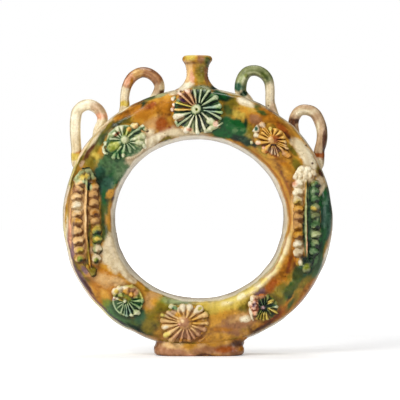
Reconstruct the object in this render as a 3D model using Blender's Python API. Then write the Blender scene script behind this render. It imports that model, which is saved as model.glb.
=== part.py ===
"""Ring flask of glazed earthenware, built the way a potter builds it: from clay pieces luted with slip.

Two pressed ring-shaped faces lie on walls of bent strip, one round the hole and two outside that butt at
the top and the bottom, and they hold one ring-shaped hollow. A thrown neck opens into it, a slab foot
carries it, four handles stand on its outer walls, and sprig-moulded rosettes, medallions and bead sprays
sit on both faces.

Metres, +Z up, the front towards -Y. The origin is on the table, under the middle of the ring.
"""

import math

import bmesh
import bpy
from mathutils import Vector

# The ring: an oval of constant tube, wider than tall because it sagged a little in the kiln
RING_WIDTH = 0.2420
RING_HEIGHT = 0.2340
TUBE_WIDTH = 0.0450
TUBE_DEPTH = 0.0540
WALL = 0.0060
RING_LIFT = 0.0065
RING_STEPS = 48

# The layer of slip between two luted pieces
SLIP_GAP = 0.0003

# Quarter of the tube's section, from crown to middle, as (across, depth) shares of its half width and half
# depth: first over the face, then from the soft edge, where face and wall meet, round the wall
FACE_SHARES = ((0.0, 1.0), (0.5, 0.98), (0.80, 0.87))
WALL_SHARES = ((0.80, 0.87), (0.91, 0.66), (0.975, 0.33), (1.0, 0.0))
SECTION_SHARES = FACE_SHARES + WALL_SHARES[1:]
# The same for the hollow, as shares of its own half width and half depth
FACE_HOLLOW_SHARES = ((0.0, 1.0), (0.60, 0.975), (0.935, 0.86))
WALL_HOLLOW_SHARES = ((0.935, 0.86), (1.0, 0.60))

# The surface that a pressed-on ornament takes: it follows the crown and stands a little off the shoulder
DRAPE_SHARES = ((0.0, 1.0), (0.5, 0.98), (0.80, 0.87), (0.95, 0.73), (1.2, 0.60))
ORNAMENT_ROOT = 0.0160

# The neck, measured up from the top of the ring
NECK_HEIGHT = 0.0285
LIP_RADIUS = 0.0134
LIP_DEPTH = 0.0080
THROAT_RADIUS = 0.0094
FLARE_RADIUS = 0.0205
FLARE_HEIGHT = 0.0120
BORE_RADIUS = 0.0060
MOUTH_RADIUS = 0.0078
MOUTH_DEPTH = 0.0090
NECK_SINK = 0.0090
NECK_STEPS = 18
# The rolled lip, as (radius, depth below the top) shares of the lip's own sizes
LIP_SHARES = ((0.80, 0.0), (0.94, 0.10), (1.0, 0.42), (0.89, 0.80), (0.80, 1.08), (0.735, 1.60))
# The flare from the throat down, as (way from throat to flare radius, height above the ring) shares
FLARE_SHARES = ((0.0, 1.0), (0.09, 0.60), (0.24, 0.38), (0.43, 0.15), (0.62, -0.02), (0.84, -0.12),
                (1.0, -0.26))

# The foot: an oblong slab, hollowed below so that it stands on a rim, with the ring bedded in its top
FOOT_LENGTH = 0.0832
FOOT_DEPTH = 0.0470
FOOT_HEIGHT = 0.0150
FOOT_RIM = 0.0085
FOOT_RECESS = 0.0028
FOOT_SHIFT = 0.0019
FOOT_STEPS = 20
FOOT_SQUARENESS = 4.0
# Levels of the foot from table to top, as (height, length, depth) shares
FOOT_LEVEL_SHARES = ((0.0, 0.915, 0.93), (0.16, 0.975, 0.98), (0.45, 1.0, 1.0), (0.72, 0.965, 0.97),
                     (1.0, 0.92, 0.92))

# The handles: coils a little wider in depth than in the ring's plane, thicker where they are smeared onto it
HANDLE_RADIUS = 0.0045
HANDLE_SPREAD = 0.0054
HANDLE_FOOT_SWELL = 0.0009
HANDLE_SWELL_SHARE = 0.45
HANDLE_ROOT = 0.0120
HANDLE_SIDES = 8
HANDLE_STEPS = 14
KNOT_STEPS = 8
OUTER_LEFT_REACH = 0.0264
INNER_LEFT_REACH = 0.0235
INNER_RIGHT_REACH = 0.0258
OUTER_RIGHT_REACH = 0.0220
# Each coil was bent by hand. Its loop from lower to upper foot, as shares of half the chord between the feet
# and of its reach
OUTER_LEFT_SHARES = ((-0.73, 0.24), (-0.21, 0.59), (0.32, 0.87), (0.77, 1.0), (1.21, 0.84), (1.34, 0.52),
                     (1.20, 0.22))
INNER_LEFT_SHARES = ((-0.75, 0.38), (-0.39, 0.73), (0.04, 0.94), (0.48, 1.0), (0.83, 0.94), (1.13, 0.74),
                     (1.28, 0.47), (1.22, 0.20))
INNER_RIGHT_SHARES = ((-0.78, 0.24), (-0.55, 0.53), (-0.29, 0.78), (0.04, 0.94), (0.44, 1.0), (0.83, 0.96),
                      (1.14, 0.81), (1.26, 0.55), (1.16, 0.25))
OUTER_RIGHT_SHARES = ((-0.76, 0.24), (-0.46, 0.55), (-0.06, 0.81), (0.47, 0.97), (0.98, 1.0), (1.36, 0.81),
                      (1.50, 0.54), (1.38, 0.24))
# Name, angles of the lower and the upper foot round the ring, reach and loop
HANDLES = (
    ("handle_outer_left", 152.7, 134.0, OUTER_LEFT_REACH, OUTER_LEFT_SHARES),
    ("handle_inner_left", 123.1, 107.5, INNER_LEFT_REACH, INNER_LEFT_SHARES),
    ("handle_inner_right", 56.9, 71.5, INNER_RIGHT_REACH, INNER_RIGHT_SHARES),
    ("handle_outer_right", 27.2, 43.8, OUTER_RIGHT_REACH, OUTER_RIGHT_SHARES),
)

# Rosettes and medallions. A petal has columns of points, as (share of its turn, share of its rise).
SOFT_PETAL_SHARES = ((0.0, 0.0), (0.30, 1.0), (0.70, 1.0))
KEEN_PETAL_SHARES = ((0.0, 0.0), (0.5, 1.0))
# Stations outwards, as (radius on a petal, radius between petals, rise on a petal, rise between)
ROSETTE_SHARES = ((0.16, 0.16, 0.88, 0.88), (0.22, 0.22, 0.42, 0.36), (0.62, 0.62, 0.78, 0.34),
                  (0.92, 0.86, 0.68, 0.28), (1.0, 0.90, 0.22, 0.14))
MEDALLION_SHARES = ((0.12, 0.12, 0.62, 0.46), (0.80, 0.80, 0.76, 0.40), (0.90, 0.90, 1.0, 1.0),
                    (1.0, 1.0, 0.45, 0.45))
ROSETTE_RELIEF = 0.0044
MEDALLION_RELIEF = 0.0032
CREST_ROSETTE_MARGIN = 0.0010
CREST_ROSETTE_SPREAD = 0.0240
CREST_ROSETTE_RISE = 0.0026
BASE_ROSETTE_MARGIN = 0.0038
BASE_ROSETTE_SPREAD = 0.0214
SIDE_ROSETTE_MARGIN = 0.0048
SIDE_ROSETTE_SPREAD = 0.0182
MEDALLION_MARGIN = 0.0080
MEDALLION_SPREAD = 0.0145
MEDALLION_RISE = 0.0028
# Name, angle on the ring, shift outwards, margin to the tube's edge, spread along the ring, relief, petals,
# petal and stations
DISCS = (
    ("crest_rosette", 90.5, CREST_ROSETTE_RISE, CREST_ROSETTE_MARGIN, CREST_ROSETTE_SPREAD, ROSETTE_RELIEF,
     18, KEEN_PETAL_SHARES, ROSETTE_SHARES),
    ("upper_left_rosette", 131.3, 0.0, SIDE_ROSETTE_MARGIN, SIDE_ROSETTE_SPREAD, ROSETTE_RELIEF, 12,
     SOFT_PETAL_SHARES, ROSETTE_SHARES),
    ("upper_right_rosette", 46.5, 0.0, SIDE_ROSETTE_MARGIN, SIDE_ROSETTE_SPREAD, ROSETTE_RELIEF, 16,
     KEEN_PETAL_SHARES, ROSETTE_SHARES),
    ("lower_left_medallion", 230.4, MEDALLION_RISE, MEDALLION_MARGIN, MEDALLION_SPREAD, MEDALLION_RELIEF,
     18, KEEN_PETAL_SHARES, MEDALLION_SHARES),
    ("lower_right_medallion", 305.6, MEDALLION_RISE, MEDALLION_MARGIN, MEDALLION_SPREAD, MEDALLION_RELIEF,
     18, KEEN_PETAL_SHARES, MEDALLION_SHARES),
    ("base_rosette", 263.4, 0.0, BASE_ROSETTE_MARGIN, BASE_ROSETTE_SPREAD, ROSETTE_RELIEF, 17,
     KEEN_PETAL_SHARES, ROSETTE_SHARES),
)

# Bead sprays: a leaf-shaped pad with a rib, a row of beads on each side, a cap of lobes and a pendant bead
SPRAY_LENGTH = 0.0990
SPRAY_WIDTH = 0.0284
SPRAY_PAD = 0.0019
RIB_WIDTH = 0.0026
RIB_RELIEF = 0.0034
BEAD_RELIEF = 0.0042
BEAD_WIDTH = 0.0104
BEAD_PITCH = 0.0081
BEAD_LAP = 0.0010
BEAD_ROW_SPACING = 0.0160
LEFT_SPRAY_SHIFT = 0.0012
RIGHT_SPRAY_SHIFT = -0.0010
BEADS_PER_ROW = 9
BEAD_SIDES = 6
# The edge of a bead's dome, as (radius, rise) shares. Above it comes the pole.
BEAD_DOME_SHARES = (0.80, 0.66)
# Outline of the pad from top to bottom, as (along, across) shares of half its length and half its width
PAD_SHARES = ((1.0, 0.38), (0.90, 0.72), (0.74, 0.94), (0.52, 1.0), (0.26, 1.0), (-0.26, 1.0),
              (-0.52, 0.95), (-0.70, 0.86), (-0.86, 0.54), (-1.0, 0.26))
PAD_COLUMN_SHARES = (-1.0, -0.5, 0.0, 0.5, 1.0)
RIB_SHARES = (0.72, 0.40, 0.0, -0.40, -0.72)
RIB_TOP_SHARE = 0.5
# Lobes of the cap and the pendant bead, as (across, along, width, length, turn in degrees)
CAP_LOBE_SHARES = ((-0.42, 0.80, 1.05, 1.15, 38.0), (0.0, 0.88, 1.0, 1.25, 0.0),
                   (0.42, 0.80, 1.05, 1.15, -38.0))
PENDANT_SHARES = (0.0, -0.87, 1.0, 1.25, 0.0)
# Name, angle on the ring and shift outwards
SPRAYS = (("left_spray", 182.2, LEFT_SPRAY_SHIFT), ("right_spray", 359.6, RIGHT_SPRAY_SHIFT))

# Glazes, as linear colour and roughness
AMBER = ((0.47, 0.20, 0.030), 0.22)
GREEN = ((0.035, 0.15, 0.060), 0.20)
CREAM = ((0.66, 0.55, 0.34), 0.28)
GLAZES = {
    "face": AMBER, "outer_wall_left": CREAM, "outer_wall_right": CREAM, "inner_wall": CREAM, "neck": AMBER,
    "foot": AMBER,
    "handle_outer_left": CREAM, "handle_inner_left": AMBER, "handle_inner_right": GREEN,
    "handle_outer_right": CREAM, "crest_rosette": GREEN, "upper_left_rosette": GREEN,
    "upper_right_rosette": AMBER, "lower_left_medallion": GREEN, "lower_right_medallion": GREEN,
    "base_rosette": AMBER, "left_spray": AMBER, "right_spray": GREEN,
}

# What is worked out from the sizes
TUBE_HALF = TUBE_WIDTH / 2
DEPTH_HALF = TUBE_DEPTH / 2
LINE_HALF_WIDTH = (RING_WIDTH - TUBE_WIDTH) / 2
LINE_HALF_HEIGHT = (RING_HEIGHT - TUBE_WIDTH) / 2
RING_CENTRE = RING_LIFT + RING_HEIGHT / 2
RING_TOP = RING_LIFT + RING_HEIGHT
NECK_TOP = RING_TOP + NECK_HEIGHT
ROOT_DEPTH = DEPTH_HALF - ORNAMENT_ROOT


def clear_scene():
    """Takes every object out of the scene."""
    for old in list(bpy.data.objects):
        bpy.data.objects.remove(old)


def glaze(name):
    """The glossy glaze of a piece, made once for each colour."""
    colour, roughness = GLAZES[name]
    label = {AMBER: "amber_glaze", GREEN: "green_glaze", CREAM: "cream_glaze"}[GLAZES[name]]
    material = bpy.data.materials.get(label)
    if material is None:
        material = bpy.data.materials.new(label)
        material.use_nodes = True
        shader = material.node_tree.nodes["Principled BSDF"]
        shader.inputs["Base Color"].default_value = (*colour, 1.0)
        shader.inputs["Roughness"].default_value = roughness
        shader.inputs["Metallic"].default_value = 0.0
    return material


def skin(loops, endless=False):
    """Points and faces of one closed skin over a row of loops. A loop of one point is a pole.

    The two ends are capped, unless the row is endless and its last loop joins its first."""
    points = [point for loop in loops for point in loop]
    starts = [sum(len(loop) for loop in loops[:row]) for row in range(len(loops))]
    faces = []
    for row in range(len(loops) if endless else len(loops) - 1):
        after = (row + 1) % len(loops)
        size = max(len(loops[row]), len(loops[after]))
        for column in range(size):
            corners = [
                starts[row] + column % len(loops[row]),
                starts[row] + (column + 1) % size % len(loops[row]),
                starts[after] + (column + 1) % size % len(loops[after]),
                starts[after] + column % len(loops[after]),
            ]
            faces.append(list(dict.fromkeys(corners)))
    if not endless:
        for row in (0, len(loops) - 1):
            if len(loops[row]) > 1:
                faces.append([starts[row] + column for column in range(len(loops[row]))])
    return points, faces


def joined(shells):
    """One list of points and one of faces from several closed shells."""
    points = []
    faces = []
    for shell_points, shell_faces in shells:
        faces += [[corner + len(points) for corner in face] for face in shell_faces]
        points += shell_points
    return points, faces


def solid(name, shells):
    """An object from closed shells, with its faces turned outwards and its round sides shaded smooth."""
    points, faces = joined(shells)
    mesh = bpy.data.meshes.new(name)
    mesh.from_pydata(points, [], faces)
    shape = bmesh.new()
    shape.from_mesh(mesh)
    bmesh.ops.recalc_face_normals(shape, faces=shape.faces)
    shape.to_mesh(mesh)
    shape.free()
    mesh.shade_smooth()
    mesh.set_sharp_from_angle(angle=math.radians(40.0))
    made = bpy.data.objects.new(name, mesh)
    bpy.context.scene.collection.objects.link(made)
    return made


def cutter(name, shells):
    """A solid that only cuts others: it isn't rendered."""
    made = solid(name, shells)
    made.hide_render = True
    made.display_type = "WIRE"
    return made


def cut(target, tool, shells_overlap=False):
    """Takes the tool's space out of the target. Overlapping shells of the target become one body."""
    modifier = target.modifiers.new("cut_" + tool.name, "BOOLEAN")
    modifier.operation = "DIFFERENCE"
    modifier.solver = "EXACT"
    modifier.use_self = shells_overlap
    modifier.object = tool


def between(shares, at):
    """The value at one place of a table of (place, value) shares, straight between its rows."""
    for (low, low_value), (high, high_value) in zip(shares, shares[1:]):
        if at <= high:
            return low_value + (high_value - low_value) * (at - low) / (high - low)
    return shares[-1][1]


def ring_point(angle, across, depth=0.0):
    """The point at an angle round the ring, that far out from the tube's centre line and to the front."""
    cosine = math.cos(angle)
    sine = math.sin(angle)
    line = Vector((LINE_HALF_WIDTH * cosine, -depth, RING_CENTRE + LINE_HALF_HEIGHT * sine))
    return line + ring_outward(angle) * across


def ring_outward(angle):
    """The direction in the ring's plane that points straight out of the tube's centre line."""
    return Vector((LINE_HALF_HEIGHT * math.cos(angle), 0.0, LINE_HALF_WIDTH * math.sin(angle))).normalized()


def ring_along(angle):
    """The direction along the tube, turning anticlockwise seen from the front."""
    outward = ring_outward(angle)
    return Vector((-outward.z, 0.0, outward.x))


def across_of(point):
    """How far outwards from the tube's centre line a point lies, by closing in on its foot on that oval."""
    angle = math.atan2((point.z - RING_CENTRE) / LINE_HALF_HEIGHT, point.x / LINE_HALF_WIDTH)
    for _ in range(4):
        offset = point - ring_point(angle, 0.0)
        offset.y = 0.0
        angle += offset.dot(ring_along(angle)) / LINE_HALF_WIDTH
    return offset.dot(ring_outward(angle))


def drape(point):
    """Depth of the surface that an ornament takes at a point of the ring's plane."""
    return DEPTH_HALF * between(DRAPE_SHARES, abs(across_of(point)) / TUBE_HALF)


def quarter(shares, half_width, half_depth):
    """A quarter section in metres, from its crown to the tube's middle."""
    return [(across * half_width, depth * half_depth) for across, depth in shares]


def face_section():
    """(across, depth) round a face: over its crown from edge to edge, and back along the hollow."""
    outside = quarter(FACE_SHARES, TUBE_HALF, DEPTH_HALF)
    hollow = quarter(FACE_HOLLOW_SHARES, TUBE_HALF - WALL, DEPTH_HALF - WALL)
    over = [(-across, depth) for across, depth in outside[:0:-1]] + outside
    under = [(-across, depth) for across, depth in hollow[:0:-1]] + hollow
    return over + under[::-1]


def wall_section(side):
    """(across, depth) round a wall: its outside from front to back and its inside to the front again.

    Side is 1 for an outer wall and -1 for the inner one. The slip lies between it and the faces."""
    outside = quarter(WALL_SHARES, TUBE_HALF, DEPTH_HALF)
    hollow = quarter(WALL_HOLLOW_SHARES, TUBE_HALF - WALL, DEPTH_HALF - WALL)
    for rows in (outside, hollow):
        across, depth = rows[0]
        rows[0] = (across + SLIP_GAP, depth)
    round_the_wall = outside + [(across, -depth) for across, depth in outside[-2::-1]]
    round_the_wall += [(across, -depth) for across, depth in hollow] + hollow[::-1]
    return [(side * across, depth) for across, depth in round_the_wall]


def swept_ring(section):
    """The skin of a closed section carried once round the ring."""
    loops = []
    for step in range(RING_STEPS):
        angle = math.tau * step / RING_STEPS
        loops.append([ring_point(angle, across, depth) for across, depth in section])
    return skin(loops, endless=True)


def half_strip(section, start):
    """The skin of a closed section carried half way round, short by half a layer of slip at both ends."""
    loops = []
    for step in range(RING_STEPS // 2 + 1):
        angle = start + math.tau * step / RING_STEPS
        if step == 0:
            angle += SLIP_GAP / LINE_HALF_WIDTH / 2
        elif step == RING_STEPS // 2:
            angle -= SLIP_GAP / LINE_HALF_WIDTH / 2
        loops.append([ring_point(angle, across, depth) for across, depth in section])
    return skin(loops)


def ring_envelope():
    """The filled ring, larger by the slip gap, that shapes the seat of whatever is luted to it."""
    corner = quarter(SECTION_SHARES, TUBE_HALF + SLIP_GAP, DEPTH_HALF + SLIP_GAP)
    front = [(-across, depth) for across, depth in corner[::-1]] + corner[1:]
    back = [(-across, -depth) for across, depth in front[1:-1]]
    return cutter("ring_envelope", [swept_ring(front + back)])


def turned(profile, steps, centre):
    """Loops of a profile of (radius, height) turned round the upright axis through the centre."""
    turns = [math.tau * step / steps for step in range(steps)]
    return [
        [Vector((centre + radius * math.cos(turn), radius * math.sin(turn), height)) for turn in turns]
        for radius, height in profile
    ]


def neck_profile(grow):
    """(radius, height) down the outside of the neck, from the flat of its lip to its sunk end."""
    lip = [(LIP_RADIUS * radius, NECK_TOP - LIP_DEPTH * depth) for radius, depth in LIP_SHARES]
    flare = [
        (THROAT_RADIUS + (FLARE_RADIUS - THROAT_RADIUS) * way, RING_TOP + FLARE_HEIGHT * height)
        for way, height in FLARE_SHARES
    ]
    sunk = [(FLARE_RADIUS, RING_TOP - NECK_SINK)]
    return [(radius + grow, height) for radius, height in lip + flare + sunk]


def neck_envelope():
    """The filled neck, larger by the slip gap, for the rosettes that lap its root."""
    return cutter("neck_envelope", [skin(turned(neck_profile(SLIP_GAP), NECK_STEPS, 0.0))])


def bore_cutter():
    """The round hole under the neck, half of it in each outer wall, into the hollow."""
    hole = [(BORE_RADIUS, RING_TOP - TUBE_HALF), (BORE_RADIUS, NECK_TOP)]
    return cutter("bore_cutter", [skin(turned(hole, NECK_STEPS, 0.0))])


def neck(envelope):
    """The thrown neck: rolled lip, waisted throat, a flare bedded on the ring, and a bore right through."""
    bore = [
        (BORE_RADIUS, RING_TOP - NECK_SINK),
        (BORE_RADIUS, NECK_TOP - MOUTH_DEPTH),
        (MOUTH_RADIUS, NECK_TOP),
    ]
    made = solid("neck", [skin(turned(neck_profile(0.0) + bore, NECK_STEPS, 0.0), endless=True)])
    cut(made, envelope)
    return made


def foot_loop(half_length, half_depth, height):
    """A rounded oblong at one height: a superellipse, its points spaced evenly in turn."""
    power = 2 / FOOT_SQUARENESS
    loop = []
    for step in range(FOOT_STEPS):
        turn = math.tau * (step + 0.5) / FOOT_STEPS
        across = math.copysign(abs(math.cos(turn)) ** power, math.cos(turn))
        deep = math.copysign(abs(math.sin(turn)) ** power, math.sin(turn))
        loop.append(Vector((FOOT_SHIFT + half_length * across, half_depth * deep, height)))
    return loop


def foot_levels(grow):
    """Loops up the outside of the foot."""
    loops = []
    for height, length, depth in FOOT_LEVEL_SHARES:
        half_length = FOOT_LENGTH / 2 * length + grow
        half_depth = FOOT_DEPTH / 2 * depth + grow
        loops.append(foot_loop(half_length, half_depth, (FOOT_HEIGHT + grow) * height))
    return loops


def foot_envelope():
    """The filled foot, larger by the slip gap, for the rosettes that lap it."""
    return cutter("foot_envelope", [skin(foot_levels(SLIP_GAP))])


def foot(envelope):
    """The slab foot: recess, standing rim and spreading sides, with the ring's bed cut into its top."""
    _, length, depth = FOOT_LEVEL_SHARES[0]
    rim_length = FOOT_LENGTH / 2 * length - FOOT_RIM
    rim_depth = FOOT_DEPTH / 2 * depth - FOOT_RIM
    recess = [
        foot_loop(rim_length - FOOT_RECESS / 2, rim_depth - FOOT_RECESS / 2, FOOT_RECESS),
        foot_loop(rim_length, rim_depth, 0.0),
    ]
    made = solid("foot", [skin(recess + foot_levels(0.0))])
    cut(made, envelope)
    return made


def smooth_path(knots, count):
    """Points spaced evenly along a smooth curve through the knots."""
    fine = []
    padded = [knots[0] * 2 - knots[1], *knots, knots[-1] * 2 - knots[-2]]
    for before, start, end, after in zip(padded, padded[1:], padded[2:], padded[3:]):
        for step in range(KNOT_STEPS):
            along = step / KNOT_STEPS
            fine.append(0.5 * (
                start * 2 + (end - before) * along
                + (before * 2 - start * 5 + end * 4 - after) * along**2
                + (start * 3 - before - end * 3 + after) * along**3
            ))
    fine.append(knots[-1])
    lengths = [0.0]
    for start, end in zip(fine, fine[1:]):
        lengths.append(lengths[-1] + (end - start).length)
    path = []
    for step in range(count):
        goal = lengths[-1] * step / (count - 1)
        place = max(row for row in range(len(fine) - 1) if lengths[row] <= goal)
        share = (goal - lengths[place]) / (lengths[place + 1] - lengths[place])
        path.append(fine[place].lerp(fine[place + 1], share))
    return path


def handle(name, lower_angle, upper_angle, reach, loop_shares, envelope):
    """One coil handle: a loop in the seam's plane between two places on the ring, sunk into it at both."""
    lower, upper = math.radians(lower_angle), math.radians(upper_angle)
    lower_foot = ring_point(lower, TUBE_HALF)
    upper_foot = ring_point(upper, TUBE_HALF)
    middle = (lower_foot + upper_foot) / 2
    half_chord = (upper_foot - lower_foot) / 2
    outward = ring_outward((lower + upper) / 2)
    loop = [middle + half_chord * along + outward * (reach * out) for along, out in loop_shares]
    knots = [ring_point(lower, TUBE_HALF - HANDLE_ROOT), *loop, ring_point(upper, TUBE_HALF - HANDLE_ROOT)]
    path = smooth_path(knots, HANDLE_STEPS)
    loops = []
    for step, centre in enumerate(path):
        along = (path[min(step + 1, len(path) - 1)] - path[max(step - 1, 0)]).normalized()
        side = Vector((-along.z, 0.0, along.x))
        from_foot = min(step, len(path) - 1 - step) / (len(path) - 1) * 2
        swell = HANDLE_FOOT_SWELL * max(0.0, 1 - from_foot / HANDLE_SWELL_SHARE) ** 2
        loop = []
        for corner in range(HANDLE_SIDES):
            turn = math.tau * (corner + 0.5) / HANDLE_SIDES
            deep = Vector((0.0, (HANDLE_SPREAD + swell) * math.sin(turn), 0.0))
            loop.append(centre + side * ((HANDLE_RADIUS + swell) * math.cos(turn)) + deep)
        loops.append(loop)
    made = solid(name, [skin(loops)])
    cut(made, envelope)
    return made


def disc(name, angle, rise, margin, spread, relief, petals, petal, stations):
    """A rosette or medallion draped over the ring's front, solid down to its root inside the ring."""
    turn = math.radians(angle)
    centre = ring_point(turn, rise)
    along, outward = ring_along(turn), ring_outward(turn)
    reach = TUBE_HALF - margin
    centre.y = -(drape(centre) + relief)
    loops = [[centre]]
    for on_petal, off_petal, high, low in stations:
        loop = []
        for step in range(petals * len(petal)):
            place, up = petal[step % len(petal)]
            swing = math.tau * (step // len(petal) + place) / petals
            radius = off_petal + (on_petal - off_petal) * up
            point = centre + along * (spread * radius * math.cos(swing))
            point += outward * (reach * radius * math.sin(swing))
            point.y = -(drape(point) + relief * (low + (high - low) * up))
            loop.append(point)
        loops.append(loop)
    loops.append([Vector((point.x, -ROOT_DEPTH, point.z)) for point in loops[-1]])
    return solid(name, [skin(loops)])


def spray_place(frame, across, along, height):
    """The point of a spray at a place on its panel, that high above the draped surface."""
    centre, panel_across, panel_along = frame
    point = centre + panel_across * across + panel_along * along
    point.y = -(drape(point) + height)
    return point


def spray_root(frame, across, along, lift=0):
    """The point under that place, at the root inside the ring. Lift counts steps that keep roots apart."""
    point = spray_place(frame, across, along, 0.0)
    point.y = -(ROOT_DEPTH + SLIP_GAP * lift)
    return point


def spray_pad(frame):
    """The leaf-shaped pad, draped across the ring's crown."""
    loops = []
    for along_share, across_share in PAD_SHARES:
        along = SPRAY_LENGTH / 2 * along_share
        edge = SPRAY_WIDTH / 2 * across_share
        loop = [spray_place(frame, edge * share, along, SPRAY_PAD) for share in PAD_COLUMN_SHARES]
        loop += [spray_root(frame, edge, along), spray_root(frame, -edge, along)]
        loops.append(loop)
    return skin(loops)


def spray_rib(frame):
    """The rib down the middle of the pad."""
    edge = RIB_WIDTH / 2
    loops = []
    for share in RIB_SHARES:
        along = SPRAY_LENGTH / 2 * share
        loop = [spray_place(frame, edge * RIB_TOP_SHARE * side, along, RIB_RELIEF) for side in (-1, 1)]
        loop += [spray_root(frame, edge, along, 1), spray_root(frame, -edge, along, 1)]
        loops.append(loop)
    return skin(loops)


def bead(frame, across, along, half_width, half_length, turn, lift):
    """One domed bead, or a longer lobe turned by an angle, rooted through the pad."""
    swing = math.radians(turn)
    edge_share, rise = BEAD_DOME_SHARES
    root = []
    edge = []
    for side in range(BEAD_SIDES):
        round_turn = math.tau * side / BEAD_SIDES
        wide = half_width * math.cos(round_turn)
        long = half_length * math.sin(round_turn)
        aside = wide * math.cos(swing) - long * math.sin(swing)
        up = wide * math.sin(swing) + long * math.cos(swing)
        root.append(spray_root(frame, across + aside, along + up, lift))
        spot = (across + aside * edge_share, along + up * edge_share)
        edge.append(spray_place(frame, *spot, BEAD_RELIEF * rise))
    return skin([root, edge, [spray_place(frame, across, along, BEAD_RELIEF)]])


def spray(name, angle, shift):
    """A bead spray: pad, rib, two rows of beads, cap lobes and pendant, as one sprig."""
    turn = math.radians(angle)
    up = ring_along(turn) if math.cos(turn) > 0 else -ring_along(turn)
    frame = (ring_point(turn, shift), Vector((up.z, 0.0, -up.x)), up)
    shells = [spray_pad(frame), spray_rib(frame)]
    half_width = BEAD_WIDTH / 2
    half_length = (BEAD_PITCH + BEAD_LAP) / 2
    for row_side in (-1, 1):
        for place in range(BEADS_PER_ROW):
            spot = (BEAD_ROW_SPACING / 2 * row_side, BEAD_PITCH * ((BEADS_PER_ROW - 1) / 2 - place))
            shells.append(bead(frame, *spot, half_width, half_length, 0.0, 2 + place % 2))
    for lift, (across, along, width, length, swing) in enumerate((*CAP_LOBE_SHARES, PENDANT_SHARES), 4):
        spot = (SPRAY_WIDTH / 2 * across, SPRAY_LENGTH / 2 * along)
        shells.append(bead(frame, *spot, half_width * width, half_length * length, swing, lift))
    return solid(name, shells)


def on_both_faces(front, tools, shells_overlap=False):
    """Cuts a front piece to what it sits on, and adds its twin behind, turned half round the upright."""
    twin = bpy.data.objects.new("back_" + front.name, front.data)
    twin.rotation_euler.z = math.pi
    bpy.context.scene.collection.objects.link(twin)
    front.name = "front_" + front.name
    for piece in (front, twin):
        for place, tool in enumerate(tools):
            cut(piece, tool, shells_overlap and place == 0)


def build():
    """The whole flask."""
    clear_scene()
    envelope = ring_envelope()
    lapped = {"crest_rosette": neck_envelope(), "base_rosette": foot_envelope()}

    face = solid("face", [swept_ring(face_section())])
    face.data.materials.append(glaze("face"))
    on_both_faces(face, [])
    bore = bore_cutter()
    pieces = [solid("inner_wall", [swept_ring(wall_section(-1))])]
    for name, start in (("outer_wall_right", -math.pi / 2), ("outer_wall_left", math.pi / 2)):
        pieces.append(solid(name, [half_strip(wall_section(1), start)]))
        cut(pieces[-1], bore)
    pieces += [neck(envelope), foot(envelope)]
    for name, lower, upper, reach, shares in HANDLES:
        pieces.append(handle(name, lower, upper, reach, shares, envelope))
    for piece in pieces:
        piece.data.materials.append(glaze(piece.name))

    for name, *sizes in DISCS:
        made = disc(name, *sizes)
        made.data.materials.append(glaze(name))
        on_both_faces(made, [envelope, lapped[name]] if name in lapped else [envelope])
    for name, angle, shift in SPRAYS:
        made = spray(name, angle, shift)
        made.data.materials.append(glaze(name))
        on_both_faces(made, [envelope], shells_overlap=True)


build()
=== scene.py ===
# %% [markdown]
# # A ring flask under splashed glaze
# The flask is a hollow clay ring that stands upright on a small foot, with a thrown neck, four coil handles
# and sprigs pressed in moulds, all under one runny lead glaze in amber, green and cream. This lesson dresses
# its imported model. Every shape is a surface worked out with numpy: a grid of points that closes on itself.
# The design is in millimetres, and the last step before a mesh turns it into metres.

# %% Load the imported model
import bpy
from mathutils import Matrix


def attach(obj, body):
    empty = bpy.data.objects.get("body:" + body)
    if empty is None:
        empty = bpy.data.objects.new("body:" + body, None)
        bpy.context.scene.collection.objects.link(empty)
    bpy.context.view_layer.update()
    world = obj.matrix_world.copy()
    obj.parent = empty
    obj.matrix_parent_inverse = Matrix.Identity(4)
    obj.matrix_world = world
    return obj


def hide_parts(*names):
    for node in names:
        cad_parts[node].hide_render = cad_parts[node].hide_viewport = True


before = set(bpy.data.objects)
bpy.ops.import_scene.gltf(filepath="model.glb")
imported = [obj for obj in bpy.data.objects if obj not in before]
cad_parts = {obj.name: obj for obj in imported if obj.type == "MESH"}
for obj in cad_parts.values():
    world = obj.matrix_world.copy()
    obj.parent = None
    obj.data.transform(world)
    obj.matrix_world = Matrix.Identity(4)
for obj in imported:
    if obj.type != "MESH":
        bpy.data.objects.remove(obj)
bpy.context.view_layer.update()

import math

import bpy
import numpy as np
from mathutils import Vector

# %% [markdown]
# ## Helpers for hand-made clay
# Nothing on a hand-built flask is exact. A smooth noise gives the slow swells that fingers leave, and the
# wandering edges of the glaze. It could come from a displacement modifier, but as a numpy function the same
# noise can move points, bend the edge of a splash and choose a colour.

# %% Smooth noise and curves
LATTICE_VALUES = 65536
LATTICE_SHIFT = 1000.5


def noise(points, size, seed):
    """Random values from -1 to 1 on a lattice of cubes of the given size, blended between each cube's eight
    corners by the smooth step 3t^2 - 2t^3, so neighbouring points get nearly the same value. Three primes
    scatter the corners over a table of 2^16 random values, and the shift keeps the lattice off the flask's
    middle."""
    cell = np.asarray(points, float) / size + LATTICE_SHIFT
    base = np.floor(cell).astype(np.int64)
    step = cell - base
    step = step * step * (3 - 2 * step)
    table = np.random.default_rng(seed).uniform(-1, 1, LATTICE_VALUES)
    total = np.zeros(base.shape[:-1])
    for corner in range(8):
        add = np.array([corner & 1, corner >> 1 & 1, corner >> 2 & 1])
        a, b, c = np.moveaxis(base + add, -1, 0)
        key = (a * 73856093 ^ b * 19349663 ^ c * 83492791) & (LATTICE_VALUES - 1)
        total += table[key] * np.prod(np.where(add == 1, step, 1 - step), axis=-1)
    return total


def ease(value, low, high):
    """The smooth step: 0 below low, 1 above high, and 3t^2 - 2t^3 between them."""
    t = np.clip((np.asarray(value, float) - low) / (high - low), 0, 1)
    return t * t * (3 - 2 * t)


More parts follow.
